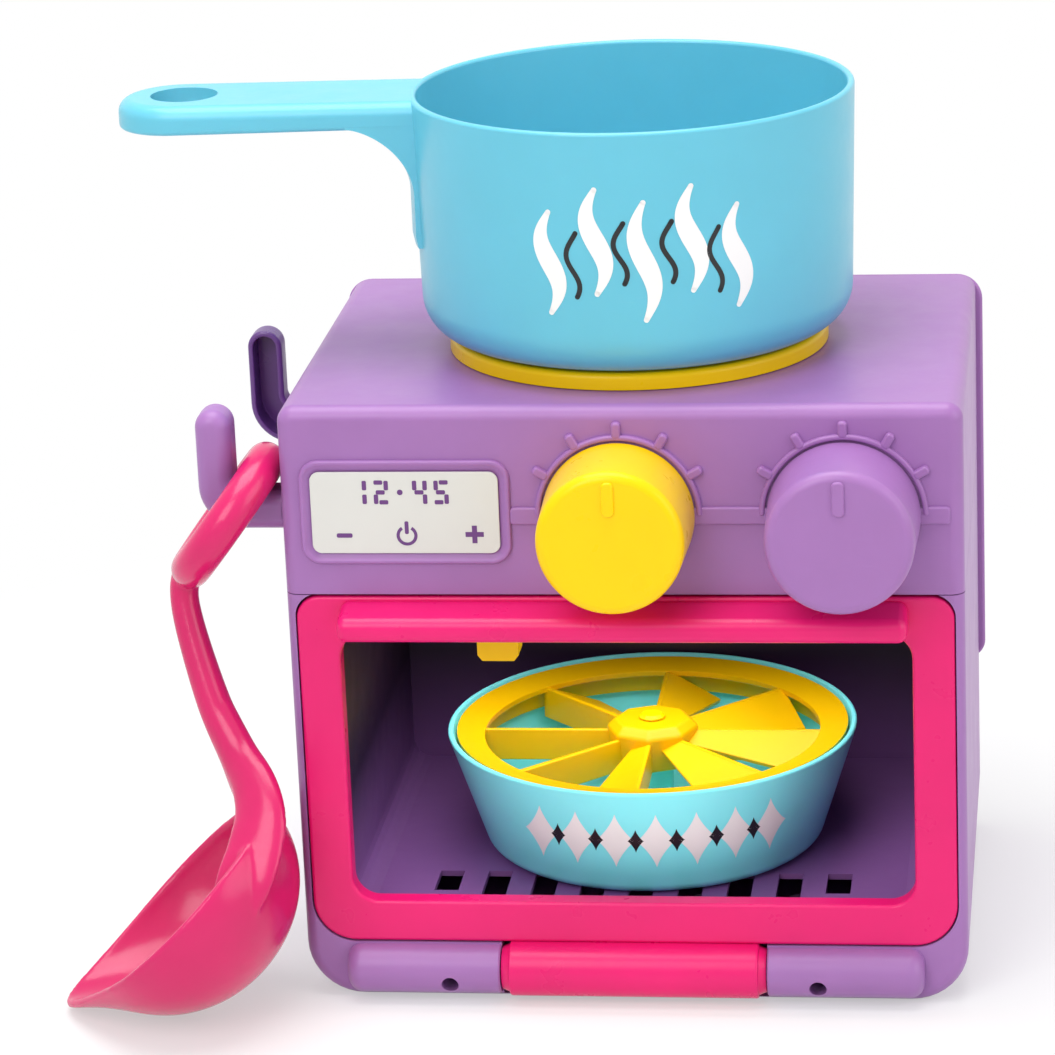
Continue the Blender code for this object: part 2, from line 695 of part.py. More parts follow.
def make_upper_casing():
    casing = cabinet_block("upper_casing", 0, FRONT, REAR + CUT_MARGIN, FACE_EDGE_RADIUS)
    cut(casing,
        cabinet_block("upper_cavity", SHELL_WALL, FRONT + SHELL_WALL, REAR + 2 * CUT_MARGIN),
        block("below_seam", (-CABINET_WIDTH, FRONT - CUT_MARGIN, -CUT_MARGIN),
              (CABINET_WIDTH, REAR + 2 * CUT_MARGIN, SEAM_HEIGHT + FIT_GAP / 2)),
        block("upper_rear_trim", (-CABINET_WIDTH, REAR, -CUT_MARGIN),
              (CABINET_WIDTH, REAR + 3 * CUT_MARGIN, TOP + CUT_MARGIN)))
    join(casing, display_bezel())
    for x in (0, DIAL_SPACING):
        join(casing, dial_ring(x))
    for x in (0, DIAL_SPACING):
        for i in range(TICK_COUNT):
            join(casing, dial_tick(x, i))
    for side in (-1, 1):
        join(casing, *corner_post("upper_post", side, REAR_POST_HIGH))
    for x in (0, DIAL_SPACING):
        join(casing, rod("shaft_bush", SHAFT_RADIUS + RUNNING_GAP + SHAFT_BUSH_WALL,
                         (x, FRONT + SHELL_WALL - ROOT_DEPTH, DIAL_HEIGHT),
                         (x, FRONT + SHELL_WALL + SHAFT_BUSH_LENGTH, DIAL_HEIGHT), SMALL_STEPS))
    cut(casing, fascia_crease())
    for x in (0, DIAL_SPACING):
        cut(casing, rod("shaft_hole", SHAFT_RADIUS + RUNNING_GAP, (x, FRONT - CUT_MARGIN, DIAL_HEIGHT),
                        (x, FRONT + 3 * CUT_MARGIN, DIAL_HEIGHT), SMALL_STEPS))
    cut(casing, rod("hob_hole", HOB_HOLE_RADIUS, (0, 0, TOP - CUT_MARGIN), (0, 0, TOP + CUT_MARGIN),
                    ROUND_STEPS))
    for side in (-1, 1):
        cut(casing, pilot_hole("upper_pilot", side, REAR_POST_HIGH))
    for y in hook_places():
        cut(casing, hook_slot(y))
    return finish(casing, PURPLE)


def display_bezel():
    outer = rounded_outline(BEZEL_WIDTH, BEZEL_HEIGHT, BEZEL_CORNER_RADIUS)
    bezel = plate(
        "display_bezel", outer, BEZEL_PROUD + ROOT_DEPTH,
        placed(BEZEL_CENTRE_X, FRONT - (BEZEL_PROUD - ROOT_DEPTH) / 2, BEZEL_CENTRE_Z, FACING_FRONT))
    bevel(bezel, BEZEL_PROUD / 2)
    inner = rounded_outline(
        BEZEL_WIDTH - 2 * BEZEL_RIM, BEZEL_HEIGHT - 2 * BEZEL_RIM, BEZEL_CORNER_RADIUS - BEZEL_RIM / 2)
    pocket = plate("display_pocket", inner, 2 * CUT_MARGIN,
                   placed(BEZEL_CENTRE_X, FRONT, BEZEL_CENTRE_Z, FACING_FRONT))
    return baked(cut(bezel, pocket))


def dial_ring(x):
    # The raised half ring over a dial, drawn as one flat outline.
    outer = arc((0, 0), DIAL_RING_RADIUS, 0, 180, ROUND_STEPS // 2)
    inner = arc((0, 0), DIAL_RING_RADIUS - DIAL_RING_WIDTH, 180, 0, ROUND_STEPS // 2)
    return plate("dial_ring", outer + inner, DIAL_RING_PROUD + ROOT_DEPTH,
                 placed(x, FRONT - (DIAL_RING_PROUD - ROOT_DEPTH) / 2, DIAL_HEIGHT, FACING_FRONT))


def dial_tick(x, index):
    # One of the evenly spaced marks, a short bar with round ends that points at the dial.
    turn = math.pi * index / (TICK_COUNT - 1)
    outline = rounded_outline(TICK_LENGTH, TICK_WIDTH, TICK_WIDTH / 3, steps=1)
    here = placed(x, FRONT - (DIAL_RING_PROUD - ROOT_DEPTH) / 2, DIAL_HEIGHT, FACING_FRONT)
    out = Matrix.Rotation(turn, 4, "Z") @ Matrix.Translation((TICK_CENTRE_RADIUS, 0, 0))
    return plate("dial_tick", outline, DIAL_RING_PROUD + ROOT_DEPTH + FIT_GAP / 2, here @ out)


def fascia_crease():
    # The fascia steps back under a line at dial height and comes out again lower down.
    head = DIAL_HEIGHT - CREASE_DROP
    outline = [
        (FRONT - CUT_MARGIN, head),
        (FRONT + CREASE_DEPTH, head),
        (FRONT, head - CREASE_HEIGHT),
        (FRONT - CUT_MARGIN, head - CREASE_HEIGHT),
    ]
    start = BEZEL_CENTRE_X + BEZEL_WIDTH / 2 + CREASE_START_GAP
    end = HALF_WIDTH - CREASE_END_MARGIN
    return plate("fascia_crease", outline, end - start, placed((start + end) / 2, 0, 0, FACING_SIDE))


def hook_places():
    return FRONT + FRONT_HOOK_SETBACK, FRONT + FRONT_HOOK_SETBACK + HOOK_SPACING


def hook_slot(y):
    depth = HOOK_DEPTH / 2 + FIT_GAP
    return block(
        "hook_slot",
        (-HALF_WIDTH - CUT_MARGIN, y - depth, HOOK_ARM_FOOT + HOOK_TONGUE_INSET - FIT_GAP),
        (-HALF_WIDTH + SHELL_WALL + ROOT_DEPTH, y + depth,
         HOOK_ARM_TOP - HOOK_TONGUE_INSET + FIT_GAP))


def make_lower_casing():
    casing = cabinet_block("lower_casing", 0, FRONT, REAR + CUT_MARGIN, FACE_EDGE_RADIUS)
    cut(casing, cabinet_block("lower_cavity", SHELL_WALL, INNER_FRONT, REAR + 2 * CUT_MARGIN),
        block("above_seam", (-CABINET_WIDTH, FRONT - CUT_MARGIN, SEAM_HEIGHT - FIT_GAP / 2),
              (CABINET_WIDTH, REAR + 2 * CUT_MARGIN, TOP + CUT_MARGIN)),
        block("lower_rear_trim", (-CABINET_WIDTH, REAR, -CUT_MARGIN),
              (CABINET_WIDTH, REAR + 3 * CUT_MARGIN, TOP + CUT_MARGIN)))
    for side in (-1, 1):
        join(casing, hinge_boss(side))
        join(casing, *corner_post("lower_post", side, REAR_POST_LOW))
    cut(casing, door_recess(), oven_mouth(), head_rail_ledge(), *barrel_channel())
    for side in (-1, 1):
        cut(casing, *pivot_hole(side), *boss_screw_hole(side))
        cut(casing, pilot_hole("lower_pilot", side, REAR_POST_LOW))
    for i in range(DRAIN_HOLE_COUNT):
        x = (i - (DRAIN_HOLE_COUNT - 1) / 2) * DRAIN_HOLE_PITCH
        cut(casing, rod("drain_hole", DRAIN_HOLE_RADIUS, (x, 0, -CUT_MARGIN), (x, 0, CUT_MARGIN)))
    return finish(casing, PURPLE)


def hinge_boss(side):
    # Half of a barrel stands proud of the skirt; its outer end is rounded.
    length = BOSS_END - BOSS_START
    edge = BOSS_END_RADIUS
    profile = [(0, length)] + arc((BOSS_RADIUS - edge, length - edge), edge, 90, 0, 3) + [(BOSS_RADIUS, 0), (0, 0)]
    turn = AXIS_X if side > 0 else Matrix.Rotation(math.pi, 4, "Z") @ AXIS_X
    return turned("hinge_boss", profile, placed(side * BOSS_START, HINGE_Y, HINGE_HEIGHT, turn),
                  steps=SMALL_STEPS + ARC_STEPS)


def door_recess():
    width = 2 * DOOR_HALF_WIDTH + 2 * FIT_GAP
    foot = DOOR_FOOT - FIT_GAP
    head = SEAM_HEIGHT + CUT_MARGIN
    outline = rounded_outline(width, head - foot, DOOR_CORNER_RADIUS + FIT_GAP, steps=ARC_STEPS + 2)
    depth = CUT_MARGIN + DOOR_THICKNESS + FIT_GAP
    return plate("door_recess", outline, depth,
                 placed(0, FRONT - CUT_MARGIN + depth / 2, (foot + head) / 2, FACING_FRONT))


def oven_mouth():
    outline = rounded_outline(2 * OVEN_HALF_WIDTH, OVEN_HEAD_HEIGHT - OVEN_FLOOR_HEIGHT, OVEN_CORNER_RADIUS)
    return plate("oven_mouth", outline, 4 * CUT_MARGIN,
                 placed(0, FRONT, (OVEN_HEAD_HEIGHT + OVEN_FLOOR_HEIGHT) / 2, FACING_FRONT))


def head_rail_ledge():
    # Behind the door's head the frame steps down, so that the pump's tray can pass over it.
    half = HALF_WIDTH - SHELL_WALL
    return block("head_rail_ledge", (-half, FRONT + DOOR_THICKNESS + FIT_GAP + HEAD_RAIL_WALL, PLATE_TOP),
                 (half, INNER_FRONT + ROOT_DEPTH, SEAM_HEIGHT + CUT_MARGIN))


def barrel_channel():
    # Room in the skirt for the door's barrel and the web above it.
    reach = BARREL_RADIUS + RUNNING_GAP
    half = BOSS_START - FIT_GAP / 2
    channel = rod("barrel_channel", reach, (-half, HINGE_Y, HINGE_HEIGHT), (half, HINGE_Y, HINGE_HEIGHT),
                  SMALL_STEPS + ARC_STEPS * 2)
    front = block("barrel_clearance", (-half, FRONT - CUT_MARGIN, -CUT_MARGIN),
                  (half, HINGE_Y, HINGE_HEIGHT + BARREL_RADIUS / 2))
    web = block("web_clearance", (-half, FRONT - CUT_MARGIN, HINGE_HEIGHT - BARREL_RADIUS / 2),
                (half, FRONT + DOOR_THICKNESS + 2 * FIT_GAP, DOOR_FOOT))
    return baked(join(channel, baked(join(front, web)))),


def pivot_hole(side):
    gap = RUNNING_GAP
    start = BOSS_START - FIT_GAP
    hole = rod("pivot_hole", PIVOT_RADIUS + gap, (side * start, HINGE_Y, HINGE_HEIGHT),
               (side * (BOSS_START + PIVOT_DEPTH + gap), HINGE_Y, HINGE_HEIGHT))
    return (hole,)


def boss_screw_hole(side):
    x = side * BOSS_SCREW_X
    z = HINGE_HEIGHT - BOSS_SCREW_DROP
    well = rod("screw_well", BOSS_SCREW_WELL, (x, FRONT - CUT_MARGIN, z), (x, FRONT + BOSS_SCREW_SEAT, z))
    shank = rod("screw_way", PILOT_RADIUS, (x, FRONT, z), (x, INNER_FRONT + CUT_MARGIN / 2, z), HOLE_STEPS)
    return well, shank


def make_oven_liner():
    # The dark oven cavity: a floor, two sides and a back, open to the front and the top.
    half = OVEN_HALF_WIDTH + LINER_WALL
    outer = block("oven_liner", (-half, LINER_FRONT, OVEN_FLOOR_HEIGHT - LINER_WALL),
                  (half, LINER_REAR, OVEN_HEAD_HEIGHT))
    inner = rounded_outline(2 * OVEN_HALF_WIDTH, OVEN_HEAD_HEIGHT + CUT_MARGIN - OVEN_FLOOR_HEIGHT,
                            OVEN_CORNER_RADIUS)
    length = LINER_REAR - LINER_WALL - LINER_FRONT + CUT_MARGIN
    hollow = plate(
        "oven_hollow", inner, length,
        placed(0, LINER_REAR - LINER_WALL - length / 2,
               (OVEN_FLOOR_HEIGHT + OVEN_HEAD_HEIGHT + CUT_MARGIN) / 2, FACING_FRONT))
    cut(outer, hollow)
    for side in (-1, 1):
        x = side * BOSS_SCREW_X
        join(outer, block("liner_leg", (x - LEG_SIZE / 2, LINER_FRONT + ROOT_DEPTH, SHELL_WALL + FIT_GAP),
                          (x + LEG_SIZE / 2, LINER_FRONT + LEG_SIZE, OVEN_FLOOR_HEIGHT - LINER_WALL / 2)))
    for side in (-1, 1):
        x = side * BOSS_SCREW_X
        z = HINGE_HEIGHT - BOSS_SCREW_DROP
        cut(outer, rod("leg_pilot", PILOT_RADIUS, (x, LINER_FRONT - CUT_MARGIN / 2, z),
                       (x, LINER_FRONT + LEG_SIZE - LINER_WALL, z), HOLE_STEPS))
    for i in range(FLOOR_SLOT_COUNT):
        x = (i - (FLOOR_SLOT_COUNT - 1) / 2) * FLOOR_SLOT_PITCH
        start = LINER_FRONT + LEG_SIZE * (abs(abs(x) - BOSS_SCREW_X) < (LEG_SIZE + FLOOR_SLOT_WIDTH) / 2)
        cut(outer, block("floor_slot",
                         (x - FLOOR_SLOT_WIDTH / 2, start + FLOOR_SLOT_START,
                          OVEN_FLOOR_HEIGHT - LINER_WALL - ROOT_DEPTH),
                         (x + FLOOR_SLOT_WIDTH / 2, LINER_FRONT + FLOOR_SLOT_LENGTH,
                          OVEN_FLOOR_HEIGHT + ROOT_DEPTH)))
    return finish(outer, DARK_PURPLE)


def make_shower_plate():
    # The oven's ceiling: a drip plate with a round catch rim under the sump's drain.
    half = OVEN_HALF_WIDTH + LINER_WALL
    ceiling = block("shower_plate", (-half, LINER_FRONT, PLATE_FOOT), (half, LINER_REAR, PLATE_TOP))
    rim = turned("shower_rim", [
        (SHOWER_RIM_RADIUS - LINER_WALL, PLATE_TOP + SHOWER_RIM_HEIGHT),
        (SHOWER_RIM_RADIUS, PLATE_TOP + SHOWER_RIM_HEIGHT),
        (SHOWER_RIM_RADIUS, PLATE_TOP - ROOT_DEPTH),
        (SHOWER_RIM_RADIUS - LINER_WALL, PLATE_TOP - ROOT_DEPTH),
    ], steps=SMALL_STEPS * 2, closed=True)
    join(ceiling, rim)
    for share, count in DRIP_RING_SHARES:
        for i in range(count):
            angle = 2 * math.pi * i / count
            x = share * SHOWER_RIM_RADIUS * math.cos(angle)
            y = share * SHOWER_RIM_RADIUS * math.sin(angle)
            cut(ceiling, rod("drip_hole", DRIP_HOLE_RADIUS, (x, y, PLATE_FOOT - ROOT_DEPTH),
                             (x, y, PLATE_TOP + ROOT_DEPTH), HOLE_STEPS))
    cut(ceiling, block(
        "spout_slot",
        (SPOUT_CENTRE_X - SPOUT_TOP_HALF_WIDTH - FIT_GAP, SPOUT_CENTRE_Y - SPOUT_DEPTH / 2 - FIT_GAP,
         PLATE_FOOT - ROOT_DEPTH),
        (SPOUT_CENTRE_X + SPOUT_TOP_HALF_WIDTH + FIT_GAP, SPOUT_CENTRE_Y + SPOUT_DEPTH / 2 + FIT_GAP,
         PLATE_TOP + ROOT_DEPTH)))
    return finish(ceiling, DARK_PURPLE)


def make_drain_spout():
    # The yellow spout that hangs through the ceiling and drains the pump's bay.
    foot = PLATE_FOOT - SPOUT_HEIGHT + PLATE_THICKNESS
    outline = [
        (-SPOUT_TOP_HALF_WIDTH, PLATE_TOP + FIT_GAP + ROOT_DEPTH / 2),
        (-SPOUT_TOP_HALF_WIDTH, foot + SPOUT_FLANGE),
        (-SPOUT_FOOT_HALF_WIDTH, foot),
        (SPOUT_FOOT_HALF_WIDTH, foot),
        (SPOUT_TOP_HALF_WIDTH, foot + SPOUT_FLANGE),
        (SPOUT_TOP_HALF_WIDTH, PLATE_TOP + FIT_GAP + ROOT_DEPTH / 2),
    ]
    spout = plate("drain_spout", outline, SPOUT_DEPTH, placed(SPOUT_CENTRE_X, SPOUT_CENTRE_Y, 0, FACING_FRONT))
    flange = block(
        "spout_flange",
        (SPOUT_CENTRE_X - SPOUT_TOP_HALF_WIDTH - SPOUT_FLANGE, SPOUT_CENTRE_Y - SPOUT_DEPTH / 2 - SPOUT_FLANGE,
         PLATE_TOP + FIT_GAP),
        (SPOUT_CENTRE_X + SPOUT_TOP_HALF_WIDTH + SPOUT_FLANGE, SPOUT_CENTRE_Y + SPOUT_DEPTH / 2 + SPOUT_FLANGE,
         PLATE_TOP + FIT_GAP + SPOUT_FLANGE))
    join(spout, flange)
    cut(spout, rod("spout_bore", SPOUT_BORE_RADIUS, (SPOUT_CENTRE_X, SPOUT_CENTRE_Y, foot - ROOT_DEPTH),
                   (SPOUT_CENTRE_X, SPOUT_CENTRE_Y, PLATE_TOP + CUT_MARGIN), 12))
    return finish(spout, YELLOW)


def make_display_label():
    width = BEZEL_WIDTH - 2 * BEZEL_RIM - 2 * FIT_GAP
    height = BEZEL_HEIGHT - 2 * BEZEL_RIM - 2 * FIT_GAP
    outline = rounded_outline(width, height, BEZEL_CORNER_RADIUS - BEZEL_RIM / 2 - FIT_GAP)
    y = FRONT - BEZEL_PROUD / 2
    label = plate("display_label", outline, LABEL_THICKNESS,
                  placed(BEZEL_CENTRE_X, y, BEZEL_CENTRE_Z, FACING_FRONT))
    return finish(label, LABEL)


def make_oven_door():
    outline = rounded_outline(2 * DOOR_HALF_WIDTH, DOOR_HEAD - DOOR_FOOT, DOOR_CORNER_RADIUS, steps=ARC_STEPS + 2)
    window = rounded_outline(2 * WINDOW_HALF_WIDTH, WINDOW_HEAD_HEIGHT - WINDOW_SILL_HEIGHT, WINDOW_CORNER_RADIUS)
    middle = (DOOR_HEAD + DOOR_FOOT) / 2
    shift = (WINDOW_HEAD_HEIGHT + WINDOW_SILL_HEIGHT) / 2 - middle
    door = plate("oven_door", outline, DOOR_THICKNESS,
                 placed(0, FRONT + DOOR_THICKNESS / 2, middle, FACING_FRONT),
                 holes=[[(x, y + shift) for x, y in window]])
    bevel(door, DOOR_EDGE_RADIUS)
    join(door, door_handle(), door_barrel(), *door_pivots())
    set_origin(baked(door), 0, HINGE_Y, HINGE_HEIGHT)
    return finish(door, PINK)


def door_handle():
    back = FRONT + ROOT_DEPTH
    front = FRONT - HANDLE_REACH
    outline = [
        (front, HANDLE_FOOT_HEIGHT),
        (back, HANDLE_FOOT_HEIGHT),
        (back, HANDLE_TOP_HEIGHT + HANDLE_SLOPE_DROP),
        (front, HANDLE_TOP_HEIGHT - HANDLE_SLOPE_DROP / 2),
    ]
    handle = plate("door_handle", outline, 2 * HANDLE_HALF_WIDTH, placed(0, 0, 0, FACING_SIDE))
    return bevel(handle, HANDLE_EDGE_RADIUS, 2, 30)


def door_barrel():
    half = BARREL_HALF_LENGTH
    barrel = rod("door_barrel", BARREL_RADIUS, (-half, HINGE_Y, HINGE_HEIGHT), (half, HINGE_Y, HINGE_HEIGHT),
                 ROUND_STEPS)
    inset = DOOR_EDGE_RADIUS * WEB_INSET_SHARE
    web = block("door_web", (inset - half, FRONT + inset, HINGE_HEIGHT),
                (half - inset, FRONT + DOOR_THICKNESS - inset, DOOR_FOOT + DOOR_EDGE_RADIUS * 2))
    return baked(join(barrel, web))


def door_pivots():
    pieces = []
    for side in (-1, 1):
        start = side * (BARREL_HALF_LENGTH - ROOT_DEPTH)
        cone_end = side * (BOSS_START - FIT_GAP)
        pieces.append(rod("pivot_cone", BARREL_RADIUS - FIT_GAP * 2, (start, HINGE_Y, HINGE_HEIGHT),
                          (cone_end, HINGE_Y, HINGE_HEIGHT), SMALL_STEPS + ARC_STEPS, PIVOT_CONE_RADIUS))
        pieces.append(rod("pivot_pin", PIVOT_RADIUS, (start, HINGE_Y, HINGE_HEIGHT),
                          (side * (BOSS_START + PIVOT_DEPTH), HINGE_Y, HINGE_HEIGHT)))
    return pieces


def make_knob(name, x, material):
    # A deep dial, open at the back, with a hub that grips the shaft and a raised mark.
    wall = KNOB_WALL
    edge = KNOB_EDGE_RADIUS
    profile = (
        [(0, KNOB_LENGTH)]
        + arc((KNOB_FACE_RADIUS - edge, KNOB_LENGTH - edge), edge, 90, 8, CORNER_STEPS)
        + [(KNOB_BASE_RADIUS, 0), (KNOB_BASE_RADIUS - wall, 0),
           (KNOB_FACE_RADIUS - wall, KNOB_LENGTH - wall),
           (KNOB_HUB_RADIUS, KNOB_LENGTH - wall), (KNOB_HUB_RADIUS, 0), (0, 0)]
    )
    face = FRONT - KNOB_STANDOFF
    knob = turned(name, profile, placed(x, face, DIAL_HEIGHT, FACING_FRONT))
    mark_centre = KNOB_FACE_RADIUS - KNOB_MARK_INSET - KNOB_MARK_LENGTH / 2
    mark = plate(
        name + "_mark",
        rounded_outline(KNOB_MARK_WIDTH, KNOB_MARK_LENGTH, KNOB_MARK_WIDTH / 3, steps=2),
        KNOB_MARK_PROUD + ROOT_DEPTH,
        placed(x, face - KNOB_LENGTH - (KNOB_MARK_PROUD - ROOT_DEPTH) / 2, DIAL_HEIGHT + mark_centre, FACING_FRONT))
    join(knob, mark)
    cut(knob, rod(name + "_socket", SHAFT_RADIUS + FIT_GAP, (x, face + CUT_MARGIN, DIAL_HEIGHT),
                  (x, face - KNOB_SOCKET_DEPTH, DIAL_HEIGHT)))
    return finish(knob, material)


def make_shaft(name, x, back):
    start = FRONT - KNOB_STANDOFF - KNOB_SOCKET_DEPTH + FIT_GAP
    shaft = rod(name, SHAFT_RADIUS, (x, start, DIAL_HEIGHT), (x, back, DIAL_HEIGHT))
    set_origin(shaft, x, GEAR_MID, DIAL_HEIGHT)
    return finish(shaft, WHITE)


def involute_point(base, angle):
    # The point of the involute of a base circle after it unwinds by an angle.
    return (base * (math.cos(angle) + angle * math.sin(angle)),
            base * (math.sin(angle) - angle * math.cos(angle)))


def gear_outline():
    # Spur teeth with involute flanks, thinned for running clearance.
    base = PITCH_RADIUS * math.cos(PRESSURE_ANGLE)
    tip = PITCH_RADIUS + TOOTH_TIP
    root = PITCH_RADIUS - TOOTH_ROOT
    flank_end = math.sqrt((tip / base) ** 2 - 1)
    pitch_turn = math.tan(PRESSURE_ANGLE) - PRESSURE_ANGLE
    half_tooth = TOOTH_WIDTH_SHARE * math.pi / (2 * PINION_TEETH)
    flank = []
    for i in range(FLANK_STEPS + 1):
        x, y = involute_point(base, flank_end * i / FLANK_STEPS)
        radius = math.hypot(x, y)
        flank.append((radius, half_tooth + pitch_turn - math.atan2(y, x)))
    flank[0] = (base, half_tooth + pitch_turn)
    points = []
    for tooth in range(PINION_TEETH):
        centre = 2 * math.pi * tooth / PINION_TEETH - math.pi / 2
        lower = [(root, half_tooth + pitch_turn)] + flank
        for radius, offset in lower:
            points.append((radius * math.cos(centre - offset), radius * math.sin(centre - offset)))
        for radius, offset in reversed(lower):
            points.append((radius * math.cos(centre + offset), radius * math.sin(centre + offset)))
    return points


def make_pump_pinion():
    bore = arc((0, 0), SHAFT_RADIUS + FIT_GAP, 0, 360 - 360 / SMALL_STEPS, SMALL_STEPS - 1)
    pinion = plate("pump_pinion", gear_outline(), PINION_THICKNESS,
                   placed(0, GEAR_MID, DIAL_HEIGHT, FACING_FRONT), holes=[bore])
    return finish(pinion, WHITE, 20)


def rack_outline():
    # A toothed bar: each gap sits where a pinion tooth points straight down at rest.
    pitch = math.pi * GEAR_MODULE
    slope = math.tan(PRESSURE_ANGLE)
    half = TOOTH_WIDTH_SHARE * pitch / 4
    count = int(RACK_HALF_LENGTH / pitch)
    points = [(-RACK_HALF_LENGTH, RACK_FOOT), (RACK_HALF_LENGTH, RACK_FOOT), (RACK_HALF_LENGTH, RACK_ROOT_HEIGHT)]
    for i in range(count, -count - 1, -1):
        centre = (i - 0.5) * pitch
        if abs(centre) + half + slope * TOOTH_ROOT > RACK_HALF_LENGTH - pitch / 8:
            continue
        points += [
            (centre + half + slope * TOOTH_ROOT, RACK_ROOT_HEIGHT),
            (centre + half - slope * TOOTH_TIP, RACK_PITCH_HEIGHT + TOOTH_TIP),
            (centre - half + slope * TOOTH_TIP, RACK_PITCH_HEIGHT + TOOTH_TIP),
            (centre - half - slope * TOOTH_ROOT, RACK_ROOT_HEIGHT),
        ]
    points.append((-RACK_HALF_LENGTH, RACK_ROOT_HEIGHT))
    return points


def make_pump_rack():
    rack = plate("pump_rack", rack_outline(), RACK_WIDTH, placed(0, GEAR_MID, 0, FACING_FRONT))
    rod_end = PISTON_CENTRE_X + PISTON_LENGTH / 2 + FIT_GAP
    join(rack, rod("piston_rod", PISTON_ROD_RADIUS, (-RACK_HALF_LENGTH + ROOT_DEPTH, GEAR_MID, ROD_HEIGHT),
                   (rod_end, GEAR_MID, ROD_HEIGHT)))
    return finish(rack, WHITE, 20)


def make_pump_piston():
    half = PISTON_LENGTH / 2
    groove = PISTON_GROOVE_WIDTH / 2
    floor = PISTON_RADIUS - PISTON_GROOVE_DEPTH
    piston = turned("pump_piston", [
        (0, half), (PISTON_RADIUS, half), (PISTON_RADIUS, groove), (floor, groove),
        (floor, -groove), (PISTON_RADIUS, -groove), (PISTON_RADIUS, -half), (0, -half),
    ], placed(PISTON_CENTRE_X, GEAR_MID, ROD_HEIGHT, AXIS_X), steps=SMALL_STEPS)
    return finish(piston, YELLOW)


def make_piston_seal():
    groove = PISTON_GROOVE_WIDTH / 2 - FIT_GAP
    inner = PISTON_RADIUS - PISTON_GROOVE_DEPTH + FIT_GAP
    outer = CYLINDER_BORE_RADIUS - FIT_GAP
    seal = turned("piston_seal", [(inner, groove), (outer, groove), (outer, -groove), (inner, -groove)],
                  placed(PISTON_CENTRE_X, GEAR_MID, ROD_HEIGHT, AXIS_X), steps=SMALL_STEPS, closed=True)
    return finish(seal, RUBBER)


def make_pump_cylinder():
    outer = CYLINDER_BORE_RADIUS + CYLINDER_WALL
    length = CYLINDER_LENGTH
    cylinder = turned("pump_cylinder", [
        (CYLINDER_BORE_RADIUS, length), (outer, length), (outer, 0), (CYLINDER_BORE_RADIUS, 0),
    ], placed(CYLINDER_END_X, GEAR_MID, ROD_HEIGHT, AXIS_X), steps=SMALL_STEPS + ARC_STEPS * 2, closed=True)
    x, y, z = nipple_place()
    join(cylinder, rod("air_nipple", NIPPLE_RADIUS, (x, y, ROD_HEIGHT + CYLINDER_BORE_RADIUS + CYLINDER_WALL / 2),
                       (x, y, z), 12))
    cut(cylinder, rod("nipple_bore", NIPPLE_RADIUS / 2, (x, y, ROD_HEIGHT), (x, y, z + ROOT_DEPTH), 8))
    return finish(cylinder, WHITE)


def nipple_place():
    outer = CYLINDER_BORE_RADIUS + CYLINDER_WALL
    return CYLINDER_END_X + NIPPLE_SETBACK, GEAR_MID, ROD_HEIGHT + outer + NIPPLE_HEIGHT


def make_cylinder_cap():
    bore = CYLINDER_BORE_RADIUS + CYLINDER_WALL + FIT_GAP
    outer = bore + CYLINDER_CAP_WALL
    cap = turned("cylinder_cap", [
        (0, -FIT_GAP), (bore, -FIT_GAP), (bore, CYLINDER_CAP_SKIRT), (outer, CYLINDER_CAP_SKIRT),
        (outer, -FIT_GAP - CYLINDER_CAP_WALL), (0, -FIT_GAP - CYLINDER_CAP_WALL),
    ], placed(CYLINDER_END_X, GEAR_MID, ROD_HEIGHT, AXIS_X), steps=SMALL_STEPS + ARC_STEPS * 2)
    return finish(cap, WHITE)


